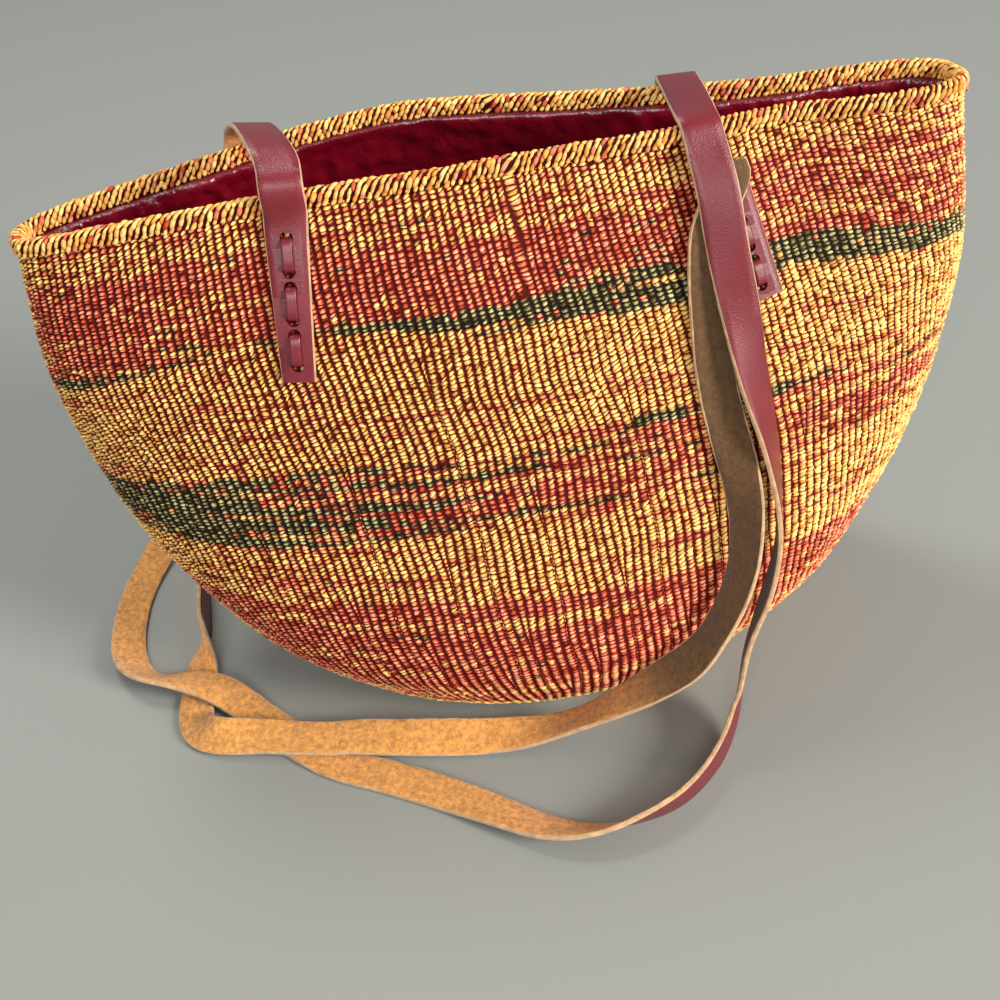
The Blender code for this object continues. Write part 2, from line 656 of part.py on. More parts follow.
def hinge_line():
    """Two points, at the back strap's edge and above it, about which its floor loop lifts."""
    rows = free_rows(BACK_DROP_SHARES) + floor_rows(BACK_FLOOR_SHARES)
    right, left = rows[HINGE_RIGHT_ROW], rows[HINGE_LEFT_ROW]
    onward = rows[HINGE_RIGHT_ROW + 1][0] - right[0]
    inward = onward.cross(right[1]).normalized()
    return (right[0] - inward * (STRAP_WIDTH / 2 + HINGE_CLEARANCE),
            left[0] + left[1] * (STRAP_THICKNESS / 2 + HINGE_LIFT))


def build():
    clear_scene()
    sisal = plain_material("sisal_weave", (0.55, 0.30, 0.14), 0.85)
    sisal_base = plain_material("sisal_base", (0.60, 0.36, 0.16), 0.85)
    sisal_ring = plain_material("sisal_ring", (0.50, 0.30, 0.12), 0.85)
    sisal_rim = plain_material("sisal_rim", (0.66, 0.42, 0.19), 0.8)
    lining_leather = plain_material("lining_leather", (0.16, 0.02, 0.045), 0.35)
    strap_leather = plain_material("strap_leather", (0.17, 0.035, 0.055), 0.45)
    lace_leather = plain_material("lace_leather", (0.20, 0.04, 0.06), 0.5)
    thread = plain_material("seam_thread", (0.20, 0.03, 0.05), 0.7)

    ring_up = BASE_RING_HEIGHT / MOUTH_HEIGHT
    gap_up = SEAT_GAP / MOUTH_HEIGHT
    wall_ups = [between(ring_up + gap_up, 1.0, k / WALL_ROWS) for k in range(WALL_ROWS + 1)]
    wall = add_object("woven_wall", shell_mesh("woven_wall", wall_ups, 0.0, WEAVE_THICKNESS), sisal)
    add_object("base_ring", shell_mesh("base_ring", [0.0, ring_up], 0.0, WEAVE_THICKNESS),
               sisal_ring)
    add_object("woven_base", disc_mesh("woven_base", 0.0, WEAVE_THICKNESS,
                                       WEAVE_THICKNESS + SEAT_GAP), sisal_base)
    lining_inset = WEAVE_THICKNESS + LINING_FIT
    lining_low = WEAVE_THICKNESS + SEAT_GAP
    lining_wall_low = lining_low + LINING_THICKNESS + SEAT_GAP
    lining_ups = [lining_wall_low / MOUTH_HEIGHT] + wall_ups
    lining = add_object("lining_wall", shell_mesh("lining_wall", lining_ups, lining_inset,
                                                  lining_inset + LINING_THICKNESS), lining_leather)
    add_object("lining_base", disc_mesh("lining_base", lining_low, lining_low + LINING_THICKNESS,
                                        lining_inset), lining_leather)
    add_object("rim_braid", ring_tube_mesh("rim_braid", [rim_centre(a) for a in around_angles()],
                                           RIM_RADIUS, RIM_SIDES), sisal_rim)
    thread_inset = lining_inset + LINING_THICKNESS + SEAT_GAP + SEAM_THREAD_RADIUS
    thread_up = 1.0 - SEAM_THREAD_DROP / MOUTH_HEIGHT
    add_object("lining_seam_thread",
               ring_tube_mesh("lining_seam_thread",
                              [skin_point(a, thread_up, thread_inset) for a in around_angles()],
                              SEAM_THREAD_RADIUS, THREAD_SIDES), thread)

    punches = {tab: hole_cutter(tab) for tab in TABS}
    for tab, punch in punches.items():
        cut(wall, punch)
        cut(lining, punch)
        add_object("lace_" + tab, lace_mesh(tab), lace_leather)

    front = strap_frames(front_strap_route())
    front_strap = strap_piece("front_strap", front, strap_leather)
    cut(front_strap, punches["front_left"])
    cut(front_strap, punches["front_right"])

    back = strap_frames(back_strap_route())
    right, left = hinge_line()
    axis = (right - left).normalized()
    right_k, left_k = nearest_frame(back, right), nearest_frame(back, left)
    left_normal = axis.cross(back[left_k][2]).normalized()
    shift = HINGE_GAP / 2

    def plane(point, normal, along, side):
        """A cutting plane beside the hinge line, to one side along the strap."""
        if normal.dot(along) < 0:
            normal = -normal
        return point + normal * shift * side, normal

    right_along, left_along = back[right_k][1], back[left_k][1]
    right_piece = strap_piece("back_strap_right", back[:right_k + 1], strap_leather,
                              end=plane(right, right_along, right_along, -1))
    strap_piece("back_strap_loop", back[right_k:left_k + 1], strap_leather,
                start=plane(right, right_along, right_along, 1),
                end=plane(left, left_normal, left_along, -1))
    left_piece = strap_piece("back_strap_left", back[left_k:], strap_leather,
                             start=plane(left, left_normal, left_along, 1))
    cut(right_piece, punches["back_right"])
    cut(left_piece, punches["back_left"])


build()
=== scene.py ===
"""Looks of the kiondo basket: twined sisal, plaited rim, leather lining, straps and laces."""
import json
import math

import bmesh
import bpy
import numpy as np
from mathutils import Matrix, Vector


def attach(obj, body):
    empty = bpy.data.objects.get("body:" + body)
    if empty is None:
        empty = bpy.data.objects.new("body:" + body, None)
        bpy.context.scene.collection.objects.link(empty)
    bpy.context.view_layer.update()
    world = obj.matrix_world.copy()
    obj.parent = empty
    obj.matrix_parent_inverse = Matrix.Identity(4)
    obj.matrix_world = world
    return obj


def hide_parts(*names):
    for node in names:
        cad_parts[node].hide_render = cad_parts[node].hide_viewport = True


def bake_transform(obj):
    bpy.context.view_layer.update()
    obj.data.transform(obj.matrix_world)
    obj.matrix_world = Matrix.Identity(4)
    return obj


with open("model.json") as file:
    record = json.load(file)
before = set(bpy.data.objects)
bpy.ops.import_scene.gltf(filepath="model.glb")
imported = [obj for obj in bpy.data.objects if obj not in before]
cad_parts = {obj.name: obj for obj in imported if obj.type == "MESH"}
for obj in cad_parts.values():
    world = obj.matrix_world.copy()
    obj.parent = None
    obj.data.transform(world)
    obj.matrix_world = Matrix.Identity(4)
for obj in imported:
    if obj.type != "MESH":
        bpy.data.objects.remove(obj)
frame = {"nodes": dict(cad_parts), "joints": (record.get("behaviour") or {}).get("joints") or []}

bl_info = {
    "name": "Kiondo basket",
    "version": (1, 0, 0),
    "blender": (4, 5, 0),
    "location": "View3D > Sidebar > Basket",
    "description": "Builds a twined sisal basket with leather lining, straps and laces",
    "category": "Add Mesh",
}

BODY, LOOP_BODY = "basket", "strap_loop"
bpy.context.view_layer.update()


def srgb(red, green, blue):
    """A screen colour of 0 to 255 as the linear colour that Blender's sockets hold."""
    parts = [c / 255 for c in (red, green, blue)]
    return tuple(c / 12.92 if c <= 0.04045 else ((c + 0.055) / 1.055) ** 2.4 for c in parts)


# ---------------------------------------------------------------- body of the basket

MOUTH_HEIGHT = 0.292
MOUTH_HALF_LENGTH = 0.230
BASE_HALF_DEPTH = 0.084
LEFT_CORNER_DROP = 0.020
RIGHT_CORNER_DRAW = 0.006
BASE_RING_HEIGHT = 0.012
WEAVE_THICKNESS = 0.0045
LINING_THICKNESS = 0.0012
LINING_FIT = 0.0005
SEAT_GAP = 0.0003
RIM_RADIUS = 0.0042
STRAP_WIDTH = 0.0195
STRAP_THICKNESS = 0.0026
LACE_THICKNESS = 0.0014
SECTION_HEIGHTS = (0.0, 0.08, 0.2, 0.4, 0.7, 1.0)
HALF_LENGTHS = (0.124, 0.15114, 0.183, 0.217505, 0.2345, 0.230)
FRONT_DEPTHS = (0.084, 0.102585, 0.1155, 0.094125, 0.068, 0.033)
BACK_DEPTHS = (0.084, 0.09934, 0.110, 0.09335, 0.073, 0.042)
FRONT_EDGE_LENGTHS = (-1.0, -0.83, -0.70, -0.45, -0.25, -0.12, 0.02, 0.14,
                      0.30, 0.38, 0.46, 0.54, 0.62, 0.72, 0.84, 1.0)
FRONT_EDGE_FULLNESS = (1.0, 1.02, 1.08, 1.14, 1.22, 1.24, 1.12, 1.04,
                       0.98, 0.90, 0.81, 0.72, 0.66, 0.80, 0.95, 1.0)
BACK_EDGE_LENGTHS = (-1.0, -0.80, -0.62, -0.42, -0.22, -0.05, 0.12,
                     0.28, 0.42, 0.52, 0.65, 0.85, 1.0)
BACK_EDGE_FULLNESS = (0.60, 0.64, 0.80, 1.06, 1.24, 1.12, 0.90,
                      0.72, 0.61, 0.55, 0.54, 0.70, 0.84)
MOUTH_FORM_START = 0.55
NORMAL_REACH = 0.01


def smooth_curve(places, values, x):
    """Read a smooth curve through the values at x, a number or an array."""
    places, values = np.asarray(places, float), np.asarray(values, float)
    x = np.clip(x, places[0], places[-1])
    last = len(places) - 1
    k = np.clip(np.searchsorted(places, x, side="left") - 1, 0, last - 1)
    low, high = np.maximum(np.arange(last + 1) - 1, 0), np.minimum(np.arange(last + 1) + 1, last)
    slopes = (values[high] - values[low]) / (places[high] - places[low])
    span = places[k + 1] - places[k]
    f = (x - places[k]) / span
    return ((2 * f ** 3 - 3 * f ** 2 + 1) * values[k] + (f ** 3 - 2 * f ** 2 + f) * span * slopes[k]
            + (3 * f ** 2 - 2 * f ** 3) * values[k + 1] + (f ** 3 - f ** 2) * span * slopes[k + 1])


def smooth_step(low, high, x):
    f = np.clip((np.asarray(x, float) - low) / (high - low), 0.0, 1.0)
    return f * f * (3 - 2 * f)


def unit(vectors):
    """The rows of an array, or one vector, at unit length."""
    return vectors / np.linalg.norm(vectors, axis=-1, keepdims=True)


def running_total(steps):
    return np.concatenate([[0], np.cumsum(steps)])


def run_lengths(points):
    """The way run along a line of points up to each of them."""
    return running_total(np.linalg.norm(np.diff(points, axis=0), axis=1))


def half_length_at(u, up):
    """Half the body's length, a little less towards the right end of the mouth."""
    draw = RIGHT_CORNER_DRAW * smooth_step(MOUTH_FORM_START, 1.0, up)
    return smooth_curve(SECTION_HEIGHTS, HALF_LENGTHS, up) - np.where(np.asarray(u) > 0, draw, 0)


def skin(around, up, depth):
    """Points at a depth inside the weave's outer face: around is an angle from +X, up a
    share of the height. Returns an array whose last axis is x, y, z."""
    around, up, depth = np.broadcast_arrays(np.asarray(around, float), np.asarray(up, float),
                                            np.asarray(depth, float))
    form = smooth_step(MOUTH_FORM_START, 1.0, up)
    power = 2.0 / (2.0 + form)
    c, s = np.cos(around), np.sin(around)
    u = np.sign(c) * np.abs(c) ** power
    v = np.sign(s) * np.abs(s) ** power
    front, back = (
        smooth_curve(SECTION_HEIGHTS, depths, up)
        * (1 + (smooth_curve(lengths, fullness, u) - 1) * form) - depth
        for depths, lengths, fullness in (
            (FRONT_DEPTHS, FRONT_EDGE_LENGTHS, FRONT_EDGE_FULLNESS),
            (BACK_DEPTHS, BACK_EDGE_LENGTHS, BACK_EDGE_FULLNESS)))
    drop = np.where(u < 0, LEFT_CORNER_DROP * up * up * u * u, 0.0)
    return np.stack([u * (half_length_at(u, up) - depth), v * np.where(v < 0, front, back),
                     up * MOUTH_HEIGHT - drop], axis=-1)


def skin_point(around, up, depth=0.0):
    return Vector(skin(around, up, depth))


def body_normal(around, up):
    low, high = max(up - NORMAL_REACH, 0.0), min(up + NORMAL_REACH, 1.0)
    along = skin_point(around + NORMAL_REACH, up) - skin_point(around - NORMAL_REACH, up)
    rise = skin_point(around, high) - skin_point(around, low)
    return along.cross(rise).normalized()


def wall_place(x, z, back=False):
    """The around and up of the wall's outer face at a given x and height."""
    up = min(z / MOUTH_HEIGHT, 1.0)
    for _ in range(6):
        u = min(max(x / float(half_length_at(x, up)), -1.0), 1.0)
        drop = LEFT_CORNER_DROP * up * up * u * u if u < 0 else 0.0
        up = min(max((z + drop) / MOUTH_HEIGHT, 0.0), 1.0)
    power = 2.0 + float(smooth_step(MOUTH_FORM_START, 1.0, up))
    around = math.acos(math.copysign(abs(u) ** (power / 2.0), u))
    return (around if back else -around), up


def on_wall(x, z, out, back=False):
    around, up = wall_place(x, z, back)
    return skin_point(around, up) + body_normal(around, up) * out


def wall_top(x, back=False):
    return on_wall(x, MOUTH_HEIGHT, 0.0, back).z


# ---------------------------------------------------------------- settings

def size_property(name, description, default):
    return bpy.props.FloatProperty(name=name, description=description, default=default,
                                   unit="LENGTH", precision=5)


def colour_property(name, description, default):
    return bpy.props.FloatVectorProperty(name=name, description=description, subtype="COLOR",
                                         size=3, min=0.0, max=1.0, default=default)


class WeaveSettings(bpy.types.PropertyGroup):
    """Sizes and yarn colours of the twined sisal, with painted highlights on the crests and painted
    shade in the gaps.
    """
    row_height: size_property("Row height", "Height of one twined row", 0.00215)
    relief: size_property("Relief", "Depth of the grooves between stitches", 0.0016)
    wales: bpy.props.IntProperty(name="Wales", description="Upright ribs round the mouth",
                                 default=248, min=40)
    # straw, salmon and khaki are painted highlights on the crests of the stitches
    straw: colour_property("Straw", "Lit crest of undyed sisal", srgb(255, 222, 138))
    gold: colour_property("Gold", "Body of undyed sisal", srgb(232, 154, 70))
    salmon: colour_property("Salmon", "Lit crest of red sisal", srgb(252, 170, 128))
    rust: colour_property("Rust", "Body of red sisal", srgb(196, 74, 48))
    khaki: colour_property("Khaki", "Lit crest of olive sisal", srgb(200, 188, 130))
    olive: colour_property("Olive", "Body of olive sisal", srgb(84, 72, 40))
    # shadow and night are painted shade in the grooves between the stitches, over the dark warp
    shadow: colour_property("Shadow", "Dark warp between the stitches", srgb(78, 10, 6))
    night: colour_property("Night", "Dark warp in the olive bands", srgb(24, 18, 8))


class LeatherSettings(bpy.types.PropertyGroup):
    """Sizes and colours of the straps, laces and lining."""
    strap_width: size_property("Strap width", "Width of both straps", STRAP_WIDTH)
    strap_thickness: size_property("Strap thickness", "Thickness of both straps", STRAP_THICKNESS)
    lace_width: size_property("Lace width", "Width of the lacing thong", 0.0050)
    lace_thickness: size_property("Lace thickness", "Thickness of the lacing thong",
                                  LACE_THICKNESS)
    hole_radius: size_property("Hole radius", "Radius of the punched holes", 0.0030)
    grain: colour_property("Grain", "Burgundy grain side of the straps", srgb(112, 22, 32))
    suede: colour_property("Suede", "Tan flesh side of the straps", srgb(220, 152, 74))
    edge: colour_property("Edge", "Pale cut edges of the straps", srgb(206, 164, 118))
    lining: colour_property("Lining", "Dark crimson lining leather", srgb(104, 4, 22))
    thread: colour_property("Thread", "Sewing thread of the lining", srgb(104, 16, 30))


class StageSettings(bpy.types.PropertyGroup):
    """Colours of the floor and the light."""
    floor: colour_property("Floor", "Pale plain floor", srgb(146, 148, 142))


# ---------------------------------------------------------------- meshes

WELD = 1e-7


def add_object(name, data):
    item = bpy.data.objects.new(name, data)
    bpy.context.scene.collection.objects.link(item)
    return item


def opened(mesh):
    bm = bmesh.new()
    bm.from_mesh(mesh)
    return bm


def written(bm, mesh):
    """Write the faces into a mesh, or into a new one if a name is given."""
    mesh = bpy.data.meshes.new(mesh) if isinstance(mesh, str) else mesh
    bm.to_mesh(mesh)
    bm.free()
    return mesh


def add_piece(name, mesh, materials, body=BODY):
    """Link a finished mesh as a piece that rides on a body, or on none if body is empty."""
    piece = add_object(name, mesh)
    for material in materials:
        mesh.materials.append(material)
    if body:
        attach(piece, body)
    return piece


def grid_mesh(name, columns, rows):
    """A flat grid of columns by rows of vertices, and each vertex's column and row."""
    bm = bmesh.new()
    bmesh.ops.create_grid(bm, x_segments=columns - 1, y_segments=rows - 1, size=0.5)
    mesh = written(bm, name)
    flat = mesh_points(mesh)
    column, row = (np.rint((flat[:, axis] + 0.5) * (count - 1)).astype(int)
                   for axis, count in enumerate((columns, rows)))
    return mesh, column, row


def mesh_points(mesh):
    flat = np.empty(len(mesh.vertices) * 3)
    mesh.vertices.foreach_get("co", flat)
    return flat.reshape(-1, 3)


def set_points(mesh, points):
    mesh.vertices.foreach_set("co", np.ascontiguousarray(points, float).ravel())
    mesh.update()


def set_colours(mesh, name, colours):
    layer = mesh.attributes.new(name, "FLOAT_COLOR", "POINT")
    full = np.ones((len(colours), 4))
    full[:, :np.shape(colours)[1]] = colours
    layer.data.foreach_set("color", full.ravel())


def set_vectors(mesh, name, vectors):
    layer = mesh.attributes.new(name, "FLOAT_VECTOR", "POINT")
    layer.data.foreach_set("vector", np.ascontiguousarray(vectors, float).ravel())


def close_mesh(mesh):
    """Weld coincident points, turn the faces outwards and shade them smooth."""
    bm = opened(mesh)
    bmesh.ops.remove_doubles(bm, verts=bm.verts, dist=WELD)
    bmesh.ops.dissolve_degenerate(bm, dist=WELD, edges=bm.edges)
    bmesh.ops.recalc_face_normals(bm, faces=bm.faces)
    for face in bm.faces:
        face.smooth = True
    return written(bm, mesh)


TUBE_SIDES = 6


def tubes_mesh(name, paths, radii, colours=None):
    """Closed tubes along open paths, with a radius and perhaps a colour at each point."""
    curve = bpy.data.curves.new(name, "CURVE")
    curve.dimensions = "3D"
    curve.bevel_depth = 1.0
    curve.bevel_resolution = TUBE_SIDES // 2 - 2
    curve.use_fill_caps = True
    for path, radius in zip(paths, radii):
        spline = curve.splines.new("POLY")
        spline.points.add(len(path) - 1)
        four = np.ones((len(path), 4))
        four[:, :3] = path
        spline.points.foreach_set("co", four.ravel())
        spline.points.foreach_set("radius", np.ascontiguousarray(radius, float))
    item = add_object(name, curve)
    mesh = bpy.data.meshes.new_from_object(item)
    bpy.data.objects.remove(item, do_unlink=True)
    bpy.data.curves.remove(curve)
    if colours:
        # the caps come first, from the last path to the first, each with its end before its start
        caps = [colour[end] for colour in reversed(colours) for end in (-1, 0)]
        both = np.concatenate([caps, *colours])
        set_colours(mesh, "yarn", np.repeat(both, TUBE_SIDES, axis=0))
    return close_mesh(mesh)


# ---------------------------------------------------------------- materials

FIBRE_STRETCH = (0.9, 5.0, 1.0)
TONE_NOISE = (0.3, 0.7)
# Powers of the sine across a wale and along a row, and how far noise frays the stitch
STITCH_WAVES = (("X", 1.3), ("Y", 0.9))
STITCH_FRAYING = (-0.56, 0.40)
STITCH_LEVELS = (("Body", 0.16, 0.44), ("Crest", 0.42, 0.84))
STITCH_RISE = 1.5
YARN_SPECULAR = 0.12
ROUGHNESS_CHANGE = 0.12


def feed(item, inputs):
    """Link a node's inputs to the sockets given for them and set the rest to the values."""
    for key, value in inputs.items():
        if isinstance(value, bpy.types.NodeSocket):
            item.id_data.links.new(value, item.inputs[key])
        else:
            item.inputs[key].default_value = value
    return item


def node(nodes, kind, inputs, **values):
    """Add a shader node, set the named properties and feed its inputs. Returns its outputs."""
    item = nodes.new("ShaderNode" + kind)
    for key, value in values.items():
        setattr(item, key, value)
    return feed(item, inputs).outputs


def maths(nodes, operation, *inputs, **values):
    return node(nodes, "Math", dict(enumerate(inputs)), operation=operation, **values)["Value"]


def ranged(nodes, value, given, wanted=(0.0, 1.0), **values):
    """The value taken from the given range to the wanted one."""
    inputs = {"Value": value, "From Min": given[0], "From Max": given[1],
              "To Min": wanted[0], "To Max": wanted[1]}
    return node(nodes, "MapRange", inputs, **values)["Result"]


def toned(nodes, colour, noise, change):
    """The colour made lighter and darker by noise."""
    value = maths(nodes, "MULTIPLY_ADD", ranged(nodes, noise, TONE_NOISE, (-1.0, 1.0)), change, 1.0)
    return node(nodes, "HueSaturation", {"Value": value, "Color": colour})["Color"]


def attribute(nodes, name):
    return node(nodes, "Attribute", {}, attribute_name=name)


def bump(nodes, height, strength, distance):
    inputs = {"Strength": strength, "Distance": distance, "Height": height}
    return node(nodes, "Bump", inputs)["Normal"]


def group_node(nodes, name, inputs):
    item = nodes.new("ShaderNodeGroup")
    item.node_tree = bpy.data.node_groups[name]
    return feed(item, inputs).outputs


def new_material(name):
    material = bpy.data.materials.new(name)
    material.use_nodes = True
    nodes = material.node_tree.nodes
    return material, nodes, nodes["Principled BSDF"]


def new_group(name, inputs, outputs):
    """A shader node group with float, colour or vector sockets."""
    group = bpy.data.node_groups.new(name, "ShaderNodeTree")
    for label, kind, default in inputs:
        socket = group.interface.new_socket(label, in_out="INPUT", socket_type="NodeSocket" + kind)
        if default is not None:
            socket.default_value = default
    for label, kind in outputs:
        group.interface.new_socket(label, in_out="OUTPUT", socket_type="NodeSocket" + kind)
    given = group.nodes.new("NodeGroupInput")
    return group.nodes, given.outputs, group.nodes.new("NodeGroupOutput")


def make_fibre_group():
    """Fine fibres of a slanted, twisted yarn in stitch coordinates."""
    nodes, given, result = new_group(
        "yarn_fibres",
        (("Vector", "Vector", None), ("Slant", "Float", 0.6), ("Fineness", "Float", 6.0),
         ("Colour", "Color", (0.5, 0.3, 0.1, 1.0)), ("Streak", "Float", 0.35)),
        (("Colour", "Color"), ("Height", "Float")))
    turned = node(nodes, "VectorRotate", {"Vector": given["Vector"], "Angle": given["Slant"]},
                  rotation_type="Z_AXIS")["Vector"]
    along = node(nodes, "VectorMath", {0: turned, 1: FIBRE_STRETCH}, operation="MULTIPLY")["Vector"]
    fibres = node(nodes, "TexNoise", {"Vector": along, "Scale": given["Fineness"],
                                      "Detail": 3.0, "Roughness": 0.65})["Fac"]
    ply = node(nodes, "TexNoise", {"Vector": along, "Scale": 1.7, "Detail": 1.0})["Fac"]
    feed(result, {"Colour": toned(nodes, given["Colour"], fibres, given["Streak"]),
                  "Height": maths(nodes, "ADD", fibres, ply)})


def make_stitch_group():
    """Paints a highlight on the crest of each stitch and painted shade in the gaps between
    stitches.
    """
    nodes, given, result = new_group(
        "stitch_light",
        (("Vector", "Vector", None), ("Gap", "Color", (0.1, 0.01, 0.01, 1.0)),
         ("Body", "Color", (0.5, 0.3, 0.1, 1.0)), ("Crest", "Color", (0.8, 0.6, 0.3, 1.0)),
         ("Shine", "Float", 1.0)),
        (("Colour", "Color"), ("Mask", "Float")))
    split = node(nodes, "SeparateXYZ", {"Vector": given["Vector"]})
    waves = []
    for axis, power in STITCH_WAVES:
        angle = maths(nodes, "MULTIPLY", maths(nodes, "FRACT", split[axis]), math.pi)
        waves.append(maths(nodes, "POWER", maths(nodes, "SINE", angle, use_clamp=True), power))
    frayed = node(nodes, "TexNoise", {"Vector": given["Vector"], "Scale": 3.6, "Detail": 2.0})
    ragged = maths(nodes, "ADD", maths(nodes, "MULTIPLY", *waves),
                   ranged(nodes, frayed["Fac"], (0.0, 1.0), STITCH_FRAYING))
    lit = maths(nodes, "MULTIPLY", ragged, given["Shine"])
    colour = given["Gap"]
    for label, low, high in STITCH_LEVELS:
        level = ranged(nodes, lit, (low, high), interpolation_type="SMOOTHSTEP")
        colour = node(nodes, "Mix", {"Factor": level, "A": colour, "B": given[label]},
                      data_type="RGBA")["Result"]
    feed(result, {"Colour": colour, "Mask": lit})


def make_leather_group():
    """Pebbled grain and soft tone changes of leather."""
    nodes, given, result = new_group(
        "leather_grain",
        (("Vector", "Vector", None), ("Colour", "Color", (0.2, 0.02, 0.03, 1.0)),
         ("Pebble scale", "Float", 900.0), ("Tone scale", "Float", 30.0),
         ("Tone change", "Float", 0.2)),
        (("Colour", "Color"), ("Height", "Float"), ("Roughness mask", "Float")))
    fine = {"Vector": given["Vector"], "Scale": given["Pebble scale"]}
    pebbles = node(nodes, "TexVoronoi", fine, feature="SMOOTH_F1")["Distance"]
    pores = node(nodes, "TexNoise", {**fine, "Detail": 4.0})["Fac"]
    tone = node(nodes, "TexNoise", {"Vector": given["Vector"], "Scale": given["Tone scale"],
                                    "Detail": 5.0, "Roughness": 0.6})["Fac"]
    feed(result, {"Colour": toned(nodes, given["Colour"], tone, given["Tone change"]),
                  "Height": maths(nodes, "ADD", pebbles, pores), "Roughness mask": tone})


def yarn_material(name, slant, fineness, streak, roughness, bump_distance, stitched=False):
    """Sisal whose colours come from the mesh's attributes, with twined stitches or plain."""
    _, nodes, shader = new_material(name)
    place, colour = attribute(nodes, "stitch")["Vector"], attribute(nodes, "yarn")["Color"]
    if stitched:
        # stitched sisal gets painted highlights on its crests and painted shade in its gaps
        crest = attribute(nodes, "crest")
        light = group_node(nodes, "stitch_light", {
            "Vector": place, "Gap": attribute(nodes, "gap")["Color"], "Body": colour,
            "Crest": crest["Color"], "Shine": crest["Alpha"]})
        colour = light["Colour"]
    fibres = group_node(nodes, "yarn_fibres", {"Vector": place, "Slant": slant, "Colour": colour,
                                               "Fineness": fineness, "Streak": streak})
    height = fibres["Height"]
    if stitched:
        height = maths(nodes, "MULTIPLY_ADD", light["Mask"], STITCH_RISE, height)
    feed(shader, {"Base Color": fibres["Colour"], "Roughness": roughness,
                  "Specular IOR Level": YARN_SPECULAR,
                  "Normal": bump(nodes, height, 0.6, bump_distance)})


def leather_material(name, colour, roughness, pebble_scale, tone_scale, tone_change,
                     bump_distance, strip=False, bump_strength=0.5, coat=0.0, sheen=0.0,
                     painted_shade=False):
    """Leather placed along its strip, or else in the piece's own space, and perhaps darkened by
    painted shade.
    """
    _, nodes, shader = new_material(name)
    if strip:
        place = attribute(nodes, "leather")["Vector"]
    else:
        place = node(nodes, "TexCoord", {})["Object"]
    grain = group_node(nodes, "leather_grain", {
        "Vector": place, "Colour": (*colour, 1.0), "Pebble scale": pebble_scale,
        "Tone scale": tone_scale, "Tone change": tone_change})
    seen = grain["Colour"]
    if painted_shade:
        # the strap's painted shade, multiplied into the colour
        strap_shade = attribute(nodes, "strap_shade")["Color"]
        seen = node(nodes, "Mix", {"Factor": 1.0, "A": seen, "B": strap_shade}, data_type="RGBA",
                    blend_type="MULTIPLY")["Result"]
    rough = ranged(nodes, grain["Roughness mask"], (0.0, 1.0),
                   (roughness - ROUGHNESS_CHANGE, roughness + ROUGHNESS_CHANGE))
    feed(shader, {"Base Color": seen, "Roughness": rough, "Coat Weight": coat,
                  "Coat Roughness": 0.25, "Sheen Weight": sheen, "Sheen Roughness": 0.5,
                  "Normal": bump(nodes, grain["Height"], bump_strength, bump_distance)})


# ---------------------------------------------------------------- twined sisal

BACK_CENTRE = math.pi / 2
WALE_FRACTIONS = np.array([0.0, 0.2, 0.4, 0.6, 0.8])
ROW_FRACTIONS = np.array([0.0, 0.5])
WALL_PIECES = 5
INNER_ROWS = 6
INNER_DEPTH = WEAVE_THICKNESS - 0.0001
TWIST = 0.034
# Shares of all wales that have started by each share of the height
START_HEIGHTS = (0.0, 0.04, 0.1, 0.2, 0.35, 0.5, 0.65, 0.8)
STARTED_SHARES = (0.60, 0.63, 0.72, 0.83, 0.90, 0.95, 0.98, 1.0)
BIRTH_RISE = 0.12
GOLDEN_SHARE = 0.618034
WALE_WIDTHS = (0.94, 1.06)
GROWN_SCALE = 1.5
WAVER_KNOTS = 30
WAVER = 0.05
TABLE_STEPS = 720
WEAVE_SEED = 7

# Where the colour bands change, as shares of the height at places along the basket
BAND_PLACES = (-1.0, -0.62, -0.38, -0.1, 0.15, 0.33, 0.6, 0.8, 1.0)
BAND_EDGES = (
    (0.936, 0.953, 0.942, 0.935, 0.935, 0.945, 0.966, 0.966, 0.952),
    (0.762, 0.808, 0.829, 0.829, 0.836, 0.836, 0.834, 0.825, 0.805),
    (0.735, 0.806, 0.815, 0.788, 0.784, 0.777, 0.789, 0.781, 0.770),
    (0.545, 0.575, 0.590, 0.585, 0.600, 0.630, 0.625, 0.620, 0.610),
    (0.530, 0.545, 0.545, 0.545, 0.570, 0.590, 0.595, 0.600, 0.590),
    (0.440, 0.440, 0.450, 0.470, 0.480, 0.490, 0.480, 0.480, 0.480),
    (0.330, 0.330, 0.338, 0.333, 0.325, 0.324, 0.310, 0.300, 0.300),
    (0.080, 0.080, 0.080, 0.080, 0.080, 0.080, 0.080, 0.080, 0.080),
)
# Shares of gold, rust and olive yarn in each band at the left, the middle and the right
BAND_YARNS = (
    ((0.72, 0.26, 0.02), (0.80, 0.20, 0.00), (0.86, 0.14, 0.00)),
    ((0.16, 0.82, 0.02), (0.16, 0.82, 0.02), (0.22, 0.78, 0.00)),
    ((0.10, 0.20, 0.70), (0.06, 0.04, 0.90), (0.15, 0.05, 0.80)),
    ((0.80, 0.19, 0.01), (0.90, 0.10, 0.00), (0.92, 0.08, 0.00)),
    ((0.15, 0.30, 0.55), (0.30, 0.20, 0.50), (0.50, 0.20, 0.30)),
    ((0.08, 0.07, 0.85), (0.20, 0.75, 0.05), (0.30, 0.60, 0.10)),
    ((0.76, 0.23, 0.01), (0.90, 0.10, 0.00), (0.92, 0.08, 0.00)),
    ((0.20, 0.76, 0.04), (0.14, 0.85, 0.01), (0.14, 0.84, 0.02)),
    ((0.86, 0.08, 0.06), (0.86, 0.08, 0.06), (0.86, 0.08, 0.06)),
)
YARN_PLACES = (-0.75, 0.0, 0.8)
RUN_STITCHES = 28
BODY_LEVEL = 0.5
WALE_ROUNDNESS = 1.4
ROW_GAP_HEIGHT = 0.12
CREST_DEPTH = 0.8
# young, narrow wales get a weaker painted highlight
YOUNG_SHINE = 0.4
# the layers hold the painted gap shade, the body colour and the painted crest highlight
YARN_LAYERS = ("gap", "yarn", "crest")
